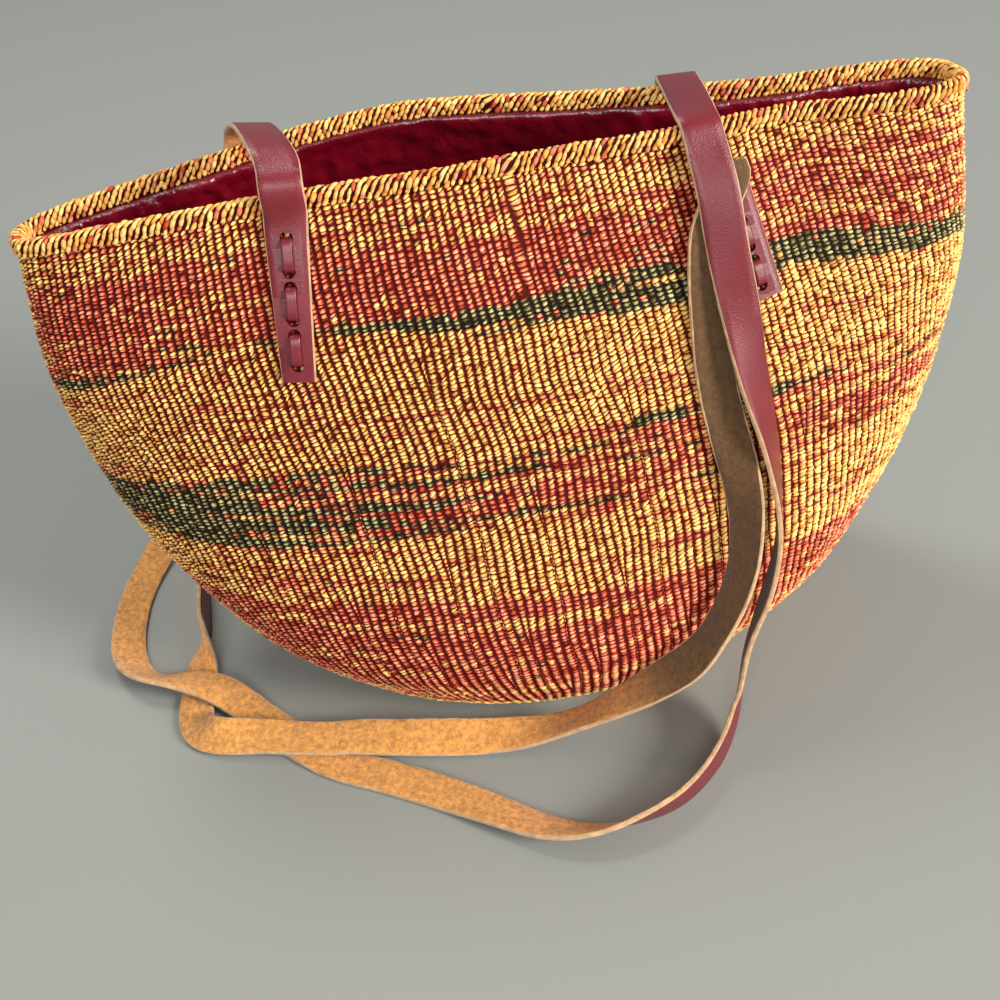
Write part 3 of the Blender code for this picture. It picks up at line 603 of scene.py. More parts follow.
# Middles for gold and for the other yarns, and the spread round them
STITCH_SLANTS = (0.80, 0.45, 0.6)
STITCH_HEIGHTS = (1.05, 0.9, 0.14)
# the shines set how strong the painted highlight on each stitch's crest is
STITCH_SHINES = (1.02, 0.88, 0.24)
SHIFT_SPREAD = 0.18
TINT_SPREAD = 0.16
TINT_RANGE = (0.5, 1.3)
BAND_WOBBLE = (0.0035, 0.0012)
RUN_SHARES = (0.7, 0.55, 0.4)


def up_table():
    """Share of the height against distance up the wall, averaged round the basket."""
    ups = np.linspace(0, 1, 401)
    angles = np.linspace(0, 2 * math.pi, 72, endpoint=False)
    points = skin(angles[None, :], ups[:, None], 0.0)
    steps = np.linalg.norm(np.diff(points, axis=0), axis=2).mean(axis=1)
    return ups, running_total(steps)


def around_at(shares, up):
    """Angles at shares of the way round at one height, from the middle of the back."""
    angles = BACK_CENTRE + np.linspace(0, 2 * math.pi, TABLE_STEPS + 1)
    lengths = run_lengths(skin(angles, up, 0.0))
    whole = np.floor(shares)
    return np.interp(shares - whole, lengths / lengths[-1], angles) + whole * 2 * math.pi


class Weave:
    """Places of the wales, which start at different heights above the base."""

    def __init__(self, wales):
        random = np.random.default_rng(WEAVE_SEED)
        self.wales = wales
        order = np.argsort(np.argsort(np.arange(wales) * GOLDEN_SHARE % 1)) / wales
        self.birth = np.interp(order, STARTED_SHARES, START_HEIGHTS)
        self.birth[order < STARTED_SHARES[0]] = -1.0
        self.width = random.uniform(*WALE_WIDTHS, wales)
        self.waver = random.normal(0, WAVER / wales, (wales, WAVER_KNOTS))

    def edges(self, up):
        """Shares of the way round at which each wale begins, and one more for the last."""
        grown = smooth_step(0.0, 1.0, (up - self.birth) / BIRTH_RISE)
        at = up * (WAVER_KNOTS - 1)
        low = min(int(at), WAVER_KNOTS - 2)
        waver = self.waver[:, low] * (low + 1 - at) + self.waver[:, low + 1] * (at - low)
        edges = running_total(self.width * grown) / (self.width * grown).sum()
        edges[1:-1] += (waver * np.minimum(grown, np.roll(grown, 1)))[1:]
        return edges + TWIST * (1 - up)


def yarn_shares(across, up, wobble):
    """Shares of gold, rust and olive yarn at places on the wall."""
    band = np.zeros(np.shape(up), int)
    for edge in BAND_EDGES:
        band += up + wobble < smooth_curve(BAND_PLACES, edge, across)
    table = np.array(BAND_YARNS)
    shares = np.array([[np.interp(across, YARN_PLACES, yarn) for yarn in band_table.T]
                       for band_table in table])
    return np.take_along_axis(shares, band[None, None], axis=0)[0]


def smooth_noise(random, rows, columns, step):
    """Normal noise that changes slowly along each row and is fresh in every row."""
    knots = random.normal(0, 1, (rows, columns // step + 2))
    places = np.arange(columns // step + 2) * step
    return np.stack([np.interp(np.arange(columns), places, row) for row in knots])


def pick_yarns(across, up, random):
    """The yarn of each stitch: 0 gold, 1 red, 2 olive. Yarns run on along a row."""
    long_runs = smooth_noise(random, *up.shape, RUN_STITCHES)
    short_runs = smooth_noise(random, *up.shape, RUN_STITCHES // 4)
    wobble = BAND_WOBBLE[0] * long_runs + random.normal(0, BAND_WOBBLE[1], up.shape)
    gold, rust, _ = yarn_shares(across, up, wobble)
    runs = long_runs, short_runs, random.normal(0, 1, up.shape)
    mixed = sum(share * run for share, run in zip(RUN_SHARES, runs))
    ranks = np.argsort(np.argsort(mixed, axis=None)).reshape(up.shape) / up.size
    return np.where(ranks < gold, 0, np.where(ranks < gold + rust, 1, 2))


def yarn_tones(settings):
    """Gap, body and crest colours of the gold, red and olive yarns."""
    return np.array([
        [settings.shadow, settings.gold, settings.straw],
        [settings.shadow, settings.rust, settings.salmon],
        [settings.night, settings.olive, settings.khaki],
    ], dtype=float)


def lit_colours(tones, yarns, brightness, lit):
    """Colours of points from their yarn and from how far they stand out of the gaps: painted shade
    low, painted highlight high.
    """
    gap, body, crest = (tones[yarns, k] for k in range(3))
    low = np.clip(lit / BODY_LEVEL, 0, 1)[..., None]
    high = np.clip((lit - BODY_LEVEL) / (1 - BODY_LEVEL), 0, 1)[..., None]
    return (gap * (1 - low) + (body * (1 - high) + crest * high) * low) * brightness[..., None]


def stitch_relief(across, along):
    """Height of a stitch at shares across its wale and along its row, 0 in the gaps."""
    return np.sin(np.pi * across) ** WALE_ROUNDNESS \
        * (ROW_GAP_HEIGHT + (1 - ROW_GAP_HEIGHT) * np.sin(np.pi * along))


def weave_mesh(name, settings, weave, row_ups, first, last, look):
    """A closed ring of twined rows from one row to another, plain on its inside."""
    per_wale, per_row = len(WALE_FRACTIONS), len(ROW_FRACTIONS)
    columns = weave.wales * per_wale + 1
    outer = (last - first) * per_row + 1
    rows = outer + INNER_ROWS + 1
    mesh, column, row = grid_mesh(name, columns, rows)
    wale_of = np.arange(columns) // per_wale
    wale_of[-1] = 0
    fraction = np.tile(WALE_FRACTIONS, weave.wales + 1)[:columns]
    total_rows = len(row_ups) - 1
    points = np.empty((rows, columns, 3))
    colours = {layer: np.ones((rows, columns, 4)) for layer in YARN_LAYERS}
    stitch = np.empty_like(points)
    tones = yarn_tones(settings)
    for j in range(rows - 1):
        inside = j >= outer
        if inside:
            v = last + (first - last) * (j - outer) / (INNER_ROWS - 1)
        else:
            v = first + j / per_row
        stitch_row = min(int(v + 0.01), total_rows - 1)
        up = float(np.interp(v, np.arange(total_rows + 1), row_ups))
        edges = weave.edges(up)
        widths = np.diff(edges)[wale_of]
        grown = np.clip(widths * weave.wales * GROWN_SCALE, 0, 1)
        shares = edges[:-1][wale_of] + widths * fraction
        shares[-1] = edges[0] + 1.0
        angles = around_at(shares, up)
        stitch[j] = np.stack([np.arange(columns) / per_wale, np.full(columns, v), fraction], axis=1)
        if inside:
            points[j] = skin(angles, up, INNER_DEPTH)
            for layer in colours.values():
                layer[j, :, :3] = settings.shadow
            continue
        part = ROW_FRACTIONS[j % per_row]
        yarns = look["yarns"][stitch_row, wale_of]
        lean = look["slants"][stitch_row, wale_of] * (fraction - 0.5)
        moved = (lean + look["shifts"][stitch_row, wale_of]) * (fraction > 0) * grown
        ups = np.interp(np.clip(v + moved, 0, total_rows), np.arange(total_rows + 1), row_ups)
        height = stitch_relief(fraction, part)
        tall = height * look["heights"][stitch_row, wale_of] * grown
        points[j] = skin(angles, ups, settings.relief * (CREST_DEPTH - tall))
        tint = look["tints"][stitch_row, wale_of][:, None]
        # painted gap shade, body colour and painted crest highlight, with the highlight's strength
        # in the crest's alpha
        for k, layer in enumerate(colours.values()):
            layer[j, :, :3] = tones[yarns, k] * (tint if k else 1.0)
        colours["crest"][j, :, 3] = look["shines"][stitch_row, wale_of]
        colours["crest"][j, :, 3] *= YOUNG_SHINE + (1 - YOUNG_SHINE) * grown
    points[-1] = points[0]
    stitch[-1] = stitch[0]
    points[:, -1] = points[:, 0]
    set_points(mesh, points[row, column])
    for layer_name, layer in colours.items():
        layer[-1] = layer[0]
        set_colours(mesh, layer_name, layer[row, column])
    set_vectors(mesh, "stitch", stitch[row, column])
    return close_mesh(mesh)


def weave_look(yarns, random):
    """Random differences between the stitches of a piece of weave."""
    shape = yarns.shape

    def varied(gold, other, spread):
        return np.where(yarns == 0, gold, other) * random.normal(1, spread, shape)

    return {
        "yarns": yarns,
        "slants": varied(*STITCH_SLANTS),
        "heights": varied(*STITCH_HEIGHTS),
        "shifts": random.normal(0, SHIFT_SPREAD, shape),
        "shines": varied(*STITCH_SHINES),
        "tints": np.clip(random.normal(1, TINT_SPREAD, shape), *TINT_RANGE),
    }


def build_wall(context):
    settings = context.scene.basket_weave
    weave = Weave(settings.wales)
    ups, lengths = up_table()
    low = (BASE_RING_HEIGHT + SEAT_GAP) / MOUTH_HEIGHT
    start, end = np.interp([low, 1.0], ups, lengths)
    rows = int(round((end - start) / settings.row_height))
    row_ups = np.interp(np.linspace(start, end, rows + 1), lengths, ups)
    middle_ups = (row_ups[:-1] + row_ups[1:]) / 2
    across = np.empty((rows, settings.wales))
    for k, up in enumerate(middle_ups):
        edges = weave.edges(up)
        angles = around_at((edges[:-1] + edges[1:]) / 2, up)
        across[k] = skin(angles, up, 0.0)[:, 0] / MOUTH_HALF_LENGTH
    random = np.random.default_rng(WEAVE_SEED + 1)
    up_of = np.repeat(middle_ups[:, None], settings.wales, 1)
    look = weave_look(pick_yarns(np.clip(across, -1, 1), up_of, random), random)
    material = bpy.data.materials["sisal_twining"]
    cuts = [round(rows * k / WALL_PIECES) for k in range(WALL_PIECES + 1)]
    for k, (first, last) in enumerate(zip(cuts, cuts[1:])):
        name = "twined_rows_%d" % (k + 1)
        mesh = weave_mesh(name, settings, weave, row_ups, first, last, look)
        piece = add_piece(name, mesh, [material])
        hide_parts("woven_wall")


# ---------------------------------------------------------------- rim braid

RIM_PITCH = 0.0033
RIM_STRAND = 0.00098
RIM_POINTS = 6
RIM_CORE_WIDTH = 0.0029
RIM_CORE_HEIGHT = 0.0038
RIM_CORE_DROP = 0.0006
RIM_SEED = 21
RIM_STEPS = 2400
RIM_RED_SHARE = 0.14
RIM_STITCHES = 300
RIM_CORE_SIZE = (240, 10)
# the rim core is painted in darkened gap shade, as it shows only between the wraps
CORE_DARKENING = 0.6
# Spreads of the ends' angles, the slant, the step's share, the thickness, the shine, the tint
RIM_SPREADS = (7, 0.2, 0.07, 0.15, 0.12, 0.08)
# the painted highlight along each rim wrap, strongest in its middle
RIM_SHINE = 0.72
# The wraps get thinner and sink towards their ends, and reach further down than up
RIM_TAPER = np.sin(np.pi * np.linspace(0.1, 0.9, RIM_POINTS)) ** 0.4
RIM_THINNEST, RIM_THICKEST = 0.7, 1.3
RIM_SINK = 0.16
RIM_SIDE = 0.9
RIM_REACH_DOWN = 1.25
RIM_TINT_RANGE = (0.7, 1.25)
# Each strand: where it starts and ends round the rim, its slant along it, its share of a step
RIM_STRANDS = ((-178, -110, 0.0018, 0.0), (-126, -52, 0.0024, 0.5), (-68, -2, 0.0026, 0.05),
               (-22, 40, 0.0026, 0.55), (22, 86, 0.0024, 0.1), (68, 128, 0.0022, 0.6),
               (110, 177, 0.0018, 0.15))


def rim_frames(count):
    """Evenly spaced centres of the rim from the middle of the back, and their outward sides."""
    angles = around_at(np.arange(count) / count, 1.0)
    centres = skin(angles, 1.0, WEAVE_THICKNESS / 2)
    centres[:, 2] += SEAT_GAP + RIM_RADIUS
    ahead = np.roll(centres, -1, axis=0) - np.roll(centres, 1, axis=0)
    outs = np.stack([ahead[:, 1], -ahead[:, 0], np.zeros(count)], axis=1)
    return centres, unit(outs)


def build_rim(context):
    settings = context.scene.basket_weave
    random = np.random.default_rng(RIM_SEED)
    centres, outs = rim_frames(RIM_STEPS)
    length = np.linalg.norm(np.roll(centres, -1, axis=0) - centres, axis=1).sum()
    steps = int(round(length / RIM_PITCH))
    tones = yarn_tones(settings)
    paths, radii, colours = [], [], []
    ends, leans, places, sizes, shines, tints = RIM_SPREADS
    for k in range(steps):
        for start, end, slant, offset in RIM_STRANDS:
            begin, finish = (math.radians(v + random.normal(0, ends)) for v in (start, end))
            turn = np.linspace(begin, finish, RIM_POINTS)
            run = slant * random.normal(1, leans) * np.linspace(-0.5, 0.5, RIM_POINTS)
            share = (k + offset + random.normal(0, places)) / steps
            at = (share + run / length) * RIM_STEPS
            low = np.floor(at).astype(int)
            part = (at - low)[:, None]
            a, b = low % RIM_STEPS, (low + 1) % RIM_STEPS
            centre = centres[a] * (1 - part) + centres[b] * part
            out = outs[a] * (1 - part) + outs[b] * part
            stand = RIM_RADIUS - RIM_STRAND * random.uniform(RIM_THINNEST, RIM_THICKEST)
            stand = stand * (1 - RIM_SINK + RIM_SINK * RIM_TAPER)
            side, level = np.sin(turn), np.cos(turn)
            side = np.where(level < 0, np.sign(side) * np.maximum(np.abs(side), RIM_SIDE), side)
            path = centre - out * (side * stand)[:, None]
            path[:, 2] += np.where(level < 0, RIM_REACH_DOWN, 1.0) * level * stand
            paths.append(path)
            radii.append(RIM_STRAND * RIM_TAPER * random.normal(1.0, sizes))
            yarn = 1 if random.uniform() < RIM_RED_SHARE else 0
            # painted highlight in the middle of each wrap, painted shade towards its tucked ends
            shine = np.clip(RIM_SHINE * RIM_TAPER + random.normal(0, shines), 0, 1)
            tint = np.full(RIM_POINTS, np.clip(random.normal(1.0, tints), *RIM_TINT_RANGE))
            colours.append(lit_colours(tones, np.full(RIM_POINTS, yarn), tint, shine))
    mesh = tubes_mesh("rim_wraps", paths, radii, colours)
    set_vectors(mesh, "stitch", mesh_points(mesh) * RIM_STITCHES)
    add_rim_piece("rim_wraps", mesh)

    around, sides = RIM_CORE_SIZE
    core, column, row = grid_mesh("rim_core", around + 1, sides + 1)
    ring, out = rim_frames(around)
    turn = 2 * math.pi * (row % sides) / sides
    spot = column % around
    boxy = [np.sign(v) * np.sqrt(np.abs(v)) for v in (np.cos(turn), np.sin(turn))]
    points = ring[spot] + out[spot] * (RIM_CORE_WIDTH * boxy[0])[:, None]
    points[:, 2] += RIM_CORE_HEIGHT * boxy[1] - RIM_CORE_DROP
    set_points(core, points)
    # painted shade: the core takes the gap shade colour, darkened further
    set_colours(core, "yarn", np.tile(np.array(settings.shadow) * CORE_DARKENING, (len(points), 1)))
    set_vectors(core, "stitch", points * RIM_STITCHES)
    add_rim_piece("rim_core", close_mesh(core))


def add_rim_piece(name, mesh):
    piece = add_piece(name, mesh, [bpy.data.materials["sisal_rim_yarn"]])
    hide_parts("rim_braid")


# ---------------------------------------------------------------- base

RING_ROWS = 3
BASE_WALES = 150
BASE_SPOKES = 120
BASE_RINGS = 30
BASE_FLAT = 0.0002
BASE_SEED = 33
BASE_ROWS_PER_RING = 3
BASE_COLUMNS_PER_SPOKE = 4
RING_GOLD_SHARE = 0.8
BASE_GOLD_SHARE = 0.75


def build_base(context):
    settings = context.scene.basket_weave
    random = np.random.default_rng(BASE_SEED)
    material = bpy.data.materials["sisal_twining"]
    weave = Weave(BASE_WALES)
    weave.birth[:] = -1.0
    high = BASE_RING_HEIGHT / MOUTH_HEIGHT
    row_ups = np.linspace(0.0, high, RING_ROWS + 1)
    shape = (RING_ROWS, BASE_WALES)
    yarns = np.where(random.uniform(0, 1, shape) < RING_GOLD_SHARE, 0, 2)
    mesh = weave_mesh("ring_rows", settings, weave, row_ups, 0, RING_ROWS,
                      weave_look(yarns, random))
    piece = add_piece("ring_rows", mesh, [material])
    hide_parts("base_ring")

    rings, per_ring, per_spoke = BASE_RINGS, BASE_ROWS_PER_RING, BASE_COLUMNS_PER_SPOKE
    columns = BASE_SPOKES * per_spoke
    rows = rings * per_ring + 2
    disc, column, row = grid_mesh("base_twining", columns + 1, rows + 1)
    angle = 2 * math.pi * (column % columns) / columns
    share = np.clip(1.0 - row / (rings * per_ring), 0.0, 1.0)
    height = stitch_relief((column % per_spoke) / per_spoke, (row % per_ring) / per_ring)
    height = height * smooth_step(0.0, 0.1, share)
    top = (row == rows) | (row == rows - 1)
    share[row == rows - 1] = 0.0
    share[row == rows] = 1.0
    edge = skin(angle, 0.0, WEAVE_THICKNESS + SEAT_GAP)
    points = edge * share[:, None]
    points[:, 2] = np.where(top, INNER_DEPTH, BASE_FLAT + settings.relief * (1 - height))
    set_points(disc, points)
    tones = yarn_tones(settings)
    ring_yarns = np.where(random.uniform(0, 1, rings + 1) < BASE_GOLD_SHARE, 0, 1)
    yarns = ring_yarns[np.minimum(row // per_ring, rings)]
    for k, layer_name in enumerate(YARN_LAYERS):
        set_colours(disc, layer_name, tones[yarns, k])
    set_vectors(disc, "stitch", np.stack([column / per_spoke, row / per_ring, row * 0.0], axis=1))
    bm = opened(disc)
    bmesh.ops.remove_doubles(bm, verts=bm.verts, dist=WELD)
    bmesh.ops.bridge_loops(bm, edges=[e for e in bm.edges if e.is_boundary])
    piece = add_piece("base_twining", close_mesh(written(bm, disc)), [material])
    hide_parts("woven_base")


# ---------------------------------------------------------------- lining

LINING_COLUMNS = 640
LINING_ROWS = 110
LINING_BACK_ROWS = 7
LINING_SEED = 5
WRINKLE_DEPTH = 0.0026
# Folds, creases and sags: how many waves, their turns round the wall and rises up it, share
LINING_WAVES = ((7, (14, 40), (-26, 26), 0.42), (12, (70, 190), (-60, 60), 0.24),
                (8, (3, 16), (60, 190), 0.22))
GATHER_START = 0.75
CREASES_BELOW = 0.4
SMOOTH_FOOT = 0.06
SMOOTH_EDGE = 0.988
THREAD_STITCHES = 330
THREAD_DROP = 0.0015
THREAD_RADIUS = 0.00045
THREAD_HALF_RUN = 0.36
THREAD_BOW = np.array([-0.0006, 0.0, 0.0002, 0.0, -0.0006])
THREAD_TAPER = np.array([0.7, 1.0, 1.0, 1.0, 0.7])


def wave_field(random, around, up, count, turns, rises):
    """A sum of random slanted waves over the wall, about -1 to 1."""
    total = np.zeros(np.shape(around))
    for _ in range(count):
        phase = random.uniform(0, 2 * math.pi)
        total += np.sin(around * random.integers(*turns) + up * random.uniform(*rises) + phase)
    return total / math.sqrt(count)


def build_lining(context):
    random = np.random.default_rng(LINING_SEED)
    inset = WEAVE_THICKNESS + LINING_FIT
    low = (WEAVE_THICKNESS + 2 * SEAT_GAP + LINING_THICKNESS) / MOUTH_HEIGHT
    rows = LINING_ROWS + LINING_BACK_ROWS + 1
    mesh, column, row = grid_mesh("lining_leather_wall", LINING_COLUMNS + 1, rows)
    around = BACK_CENTRE + 2 * math.pi * (column % LINING_COLUMNS) / LINING_COLUMNS
    seen = (row < LINING_ROWS) | (row == rows - 1)
    seen_up = low + (1 - low) * (row % (rows - 1)) / (LINING_ROWS - 1)
    hidden_up = 1.0 - (1 - low) * (row - LINING_ROWS) / (LINING_BACK_ROWS - 1)
    up = np.where(seen, seen_up, hidden_up)
    folds, creases, sags = (share * wave_field(random, around, up, *waves)
                            for *waves, share in LINING_WAVES)
    gather = smooth_step(GATHER_START, 1.0, up)
    ends = smooth_step(low, low + SMOOTH_FOOT, up) * (1 - smooth_step(SMOOTH_EDGE, 1.0, up))
    lift = folds + creases * (CREASES_BELOW + gather) + sags
    depth = inset + LINING_THICKNESS + WRINKLE_DEPTH * (lift - lift.min()) / 2 * ends
    set_points(mesh, skin(around, up, np.where(seen, depth, inset)))
    leather = bpy.data.materials["lining_crimson"]
    piece = add_piece("lining_leather_wall", close_mesh(mesh), [leather])
    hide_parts("lining_wall")
    bottom = frame["nodes"]["lining_base"].data
    bottom.materials.clear()
    bottom.materials.append(leather)

    thread_up = 1.0 - THREAD_DROP / MOUTH_HEIGHT
    depth = inset + LINING_THICKNESS + SEAT_GAP
    run = np.linspace(-THREAD_HALF_RUN, THREAD_HALF_RUN, len(THREAD_BOW))
    paths = []
    for k in range(THREAD_STITCHES):
        spots = around_at((k + 0.5 + run) / THREAD_STITCHES, thread_up)
        paths.append(skin(spots, thread_up, depth + THREAD_BOW))
    mesh = tubes_mesh("lining_stitches", paths, [THREAD_RADIUS * THREAD_TAPER] * len(paths))
    piece = add_piece("lining_stitches", mesh, [bpy.data.materials["sewing_thread"]])
    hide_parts("lining_seam_thread")


# ---------------------------------------------------------------- straps and laces

STRAP_FIT = 0.0008
LAYER = STRAP_THICKNESS + SEAT_GAP
TAB_OUT = STRAP_FIT + STRAP_THICKNESS / 2
LACE_OUT = STRAP_FIT + STRAP_THICKNESS + SEAT_GAP + LACE_THICKNESS / 2
LACE_IN = WEAVE_THICKNESS - LACE_THICKNESS / 2
LACE_BOW = 0.0003
LACE_BENDS = (0.3, 0.75)
LACE_SHARES = (0.18, 0.5, 0.82)
LACE_LEAN = 0.0006
LACE_STEP = 0.0007
TAB_END_DROP = 0.0715
FOLD_DROP = 0.0065
FOLD_RADIUS = 0.0027
FOLD_STEPS = 6
FIRST_HOLE_DROP = 0.0105
STITCH_LENGTH = 0.0135
STITCH_SPACE = 0.0065
STITCH_COUNT = 3
SPLINE_STEP = 0.001
TAB_STRAIGHT = 0.054
FOLD_KEPT = 0.100
EASE = 0.016
ARCH_END = 0.160
ARCH_WINDOW = 11
BEND_WINDOW = 37
TURN_WINDOW = 49
PUSH_WINDOW = 15
PUSH_STEP = 3
TABS = {
    "front_left": (-0.4366, -0.0066, False),
    "front_right": (0.4130, 0.018, False),
    "back_left": (-0.4087, -0.003, True),
    "back_right": (0.3950, 0.020, True),
}
FRONT_FAR = -0.5270
BACK_FAR = 0.3840
TAB_ROWS = (0.0, 0.33, 0.66, 1.0)
# End, fold and first hole drops, stitch length and space of a tab that differs from the rest
ODD_TABS = {"front_right": (0.0725, 0.0150, 0.0200, 0.0110, 0.0066)}
# Profiles of the arches from the near rim to the far one: share of the span, forth, height
ARCHES = {
    "front_left": (
        (0.0, -0.0062, -0.001), (0.0, -0.0068, 0.0050), (0.0, -0.0048, 0.0110),
        (0.05, 0.0, 0.0155), (0.18, 0.0, 0.0195), (0.40, 0.0, 0.0212), (0.62, 0.0, 0.0202),
        (0.80, 0.0, 0.0170), (0.93, 0.0, 0.0130), (1.0, 0.0025, 0.0095),
        (1.0, 0.0070, 0.0060), (1.0, 0.0092, 0.0)),
    "back_right": (
        (0.0, -0.0062, -0.001), (0.0, -0.0066, 0.0030), (0.0, -0.0048, 0.0062),
        (0.0, -0.0016, 0.0080), (0.12, 0.0, 0.0085), (0.30, 0.0, 0.0085), (0.55, 0.0, 0.0081),
        (0.80, 0.0, 0.0075), (1.0, -0.001, 0.0070), (1.0, 0.0042, 0.0052),
        (1.0, 0.0074, 0.0010)),
}
ARCH_ROLLS = {"front_left": 0.24, "back_right": 0.10}
FRONT_BEHIND = ((-0.578, 0.897, 1.6), (-0.622, 0.80, 0.9), (-0.687, 0.616, 0.75),
                (-0.757, 0.438, 0.8))
FRONT_DESCENT = ((-0.865, 0.917, 0.205, -0.95, -0.15, -0.1),)
FRONT_FLOOR = (
    (-0.920, 0.786, 0.3, -1.0, 0.05, -0.1), (-0.909, 0.490, 0.0, -1.0, 0.05, -0.1),
    (-0.900, 0.245, 0.0, -1.0, 0.05, -0.12), (-0.893, 0.040, 0.0, -0.95, 0.0, -0.2),
    (-0.893, -0.130, 0.0, -0.75, 0.0, 0.65), (-0.894, -0.300, 0.0, -0.05, 0.0, 1.0),
    (-0.898, -0.490, 0.0), (-0.896, -0.720, 0.0, -0.03, -0.03, 1.0),
    (-0.862, -0.900, 0.0, -0.40, -0.56, 0.72), (-0.790, -0.965, 0.6, -0.25, -0.45, 0.86),
    (-0.720, -0.990, 1.3, -0.05, -0.2, 0.98), (-0.636, -1.060, 1.5, 0.0, -0.15, 0.99),
    (-0.518, -1.115, 1.5, 0.0, -0.2, 0.98), (-0.403, -1.193, 1.2, 0.0, -0.4, 0.92),
    (-0.287, -1.249, 0.6, 0.0, -0.5, 0.87), (-0.171, -1.280, 0.8, 0.0, -0.25, 0.97),
    (-0.020, -1.330, 2.2, -0.30, 0.30, 0.9))
FRONT_RISE = ((0.257, 0.202, 5.0, -0.90), (0.312, 0.234, 4.5, -0.92),
    (0.355, 0.274, 4.3, -0.88), (0.385, 0.318, 4.2, -0.80), (0.403, 0.384, 4.1, -0.70),
    (0.403, 0.474, 3.4, -0.44), (0.393, 0.540, 1.5, -0.13), (0.370, 0.647, 1.0),
    (0.367, 0.729, 1.0), (0.367, 0.790, 1.2), (0.374, 0.860, 2.0))
BACK_RUN = ((0.391, 0.921, 4.3, -0.22),
    (0.398, 0.851, 4.2, -0.28), (0.416, 0.757, 3.9, -0.06), (0.439, 0.644, 3.4, 0.26),
    (0.467, 0.533, 3.7, 0.50), (0.481, 0.420, 3.9, 0.63), (0.474, 0.345, 4.1, 0.69),
    (0.446, 0.284, 4.3, 0.73))
BACK_DROP = ((0.408, -1.325, 0.178, -0.92, 0.3, -0.25),
    (0.393, -1.353, 0.120, -0.93, 0.25, -0.25), (0.376, -1.420, 0.065, -0.95, 0.2, -0.2),
    (0.352, -1.530, 0.046, -0.92, 0.35, -0.05))
BACK_FLOOR = (
    (0.325, -1.645, 0.0, -0.88, 0.46, 0.0), (0.253, -1.866, 0.0, -0.66, 0.74, 0.12),
    (0.184, -1.999, 0.0, -0.46, 0.85, 0.25), (0.117, -2.059, 0.0, -0.3, 0.86, 0.40),
    (0.039, -2.097, 0.0, -0.12, 0.78, 0.60), (-0.035, -2.076, 0.0, 0.0, 0.62, 0.78),
    (-0.107, -1.996, 0.0, 0.1, 0.4, 0.91), (-0.197, -1.825, 0.0, 0.1, 0.2, 0.97),
    (-0.302, -1.628, 0.0), (-0.412, -1.453, 0.0), (-0.552, -1.250, 0.0), (-0.642, -1.040, 0.0),
    (-0.728, -0.800, 0.0), (-0.792, -0.620, 0.6), (-0.840, -0.510, 1.8),
    (-0.889, -0.450, 2.0, 0.0, 0.1, 1.0), (-0.942, -0.395, 1.3, 0.05, 0.35, 0.94),
    (-0.994, -0.373, 0.3, 0.1, 0.72, 0.68),
    (-1.049, -0.264, 0.0, 0.35, 0.55, 0.75), (-1.088, -0.049, 0.0, 0.35, 0.1, 0.93),
    (-1.103, 0.200, 0.0, 0.2, 0.0, 0.98), (-1.100, 0.574, 0.0, 0.2, 0.0, 0.98),
    (-1.076, 0.871, 0.0, 0.25, 0.1, 0.96), (-1.035, 1.155, 0.8, 0.4, 0.25, 0.88))
BACK_CLIMB = ((-0.935, 1.380, 0.110, 0.1, 0.5, 0.85), (-0.809, 1.333, 0.212, -0.1, 0.85, 0.5))
BACK_BEHIND = ((-0.687, 0.360, 0.9), (-0.580, 0.497, 1.0), (-0.500, 0.634, 1.7),
               (-0.452, 0.760, 2.6), (-0.422, 0.873, 2.7))
HINGE_LINE = next(j for j in frame["joints"] if j["name"] == "back_strap_loop_lift")


def tab_drops(tab):
    """End, fold and first hole drops, stitch length and space of a tab."""
    usual = TAB_END_DROP, FOLD_DROP, FIRST_HOLE_DROP, STITCH_LENGTH, STITCH_SPACE
    return ODD_TABS.get(tab, usual)


def tab_place(tab, drop):
    """Where a tab's middle lies on the wall, a drop below the rim: x, height and side."""
    share, slant, back = TABS[tab]
    x = share * MOUTH_HALF_LENGTH + slant * drop / TAB_END_DROP
    return x, wall_top(x, back) - drop, back


def tab_point(tab, drop, out):
    x, z, back = tab_place(tab, drop)
    return on_wall(x, z, out, back)


def tab_outward(tab, drop):
    return body_normal(*wall_place(*tab_place(tab, drop)))


def tab_rows(tab):
    end, fold = tab_drops(tab)[:2]
    drops = [end + (fold - end) * share for share in TAB_ROWS]
    return [(tab_point(tab, drop, TAB_OUT), -tab_outward(tab, drop)) for drop in drops]


def fold_rows(tab):
    end, fold = tab_drops(tab)[:2]
    centre = tab_point(tab, fold, TAB_OUT + FOLD_RADIUS)
    out = tab_outward(tab, fold)
    rise = tab_point(tab, fold, TAB_OUT) - tab_point(tab, (fold + end) / 2, TAB_OUT)
    rise = (rise - out * rise.dot(out)).normalized()
    rows = []
    for step in range(1, FOLD_STEPS + 1):
        angle = math.pi * step / FOLD_STEPS
        spoke = rise * math.sin(angle) - out * math.cos(angle)
        rows.append((centre + spoke * FOLD_RADIUS, spoke))
    return rows


def rim_centre(around):
    return skin_point(around, 1.0, WEAVE_THICKNESS / 2) + Vector((0, 0, SEAT_GAP + RIM_RADIUS))


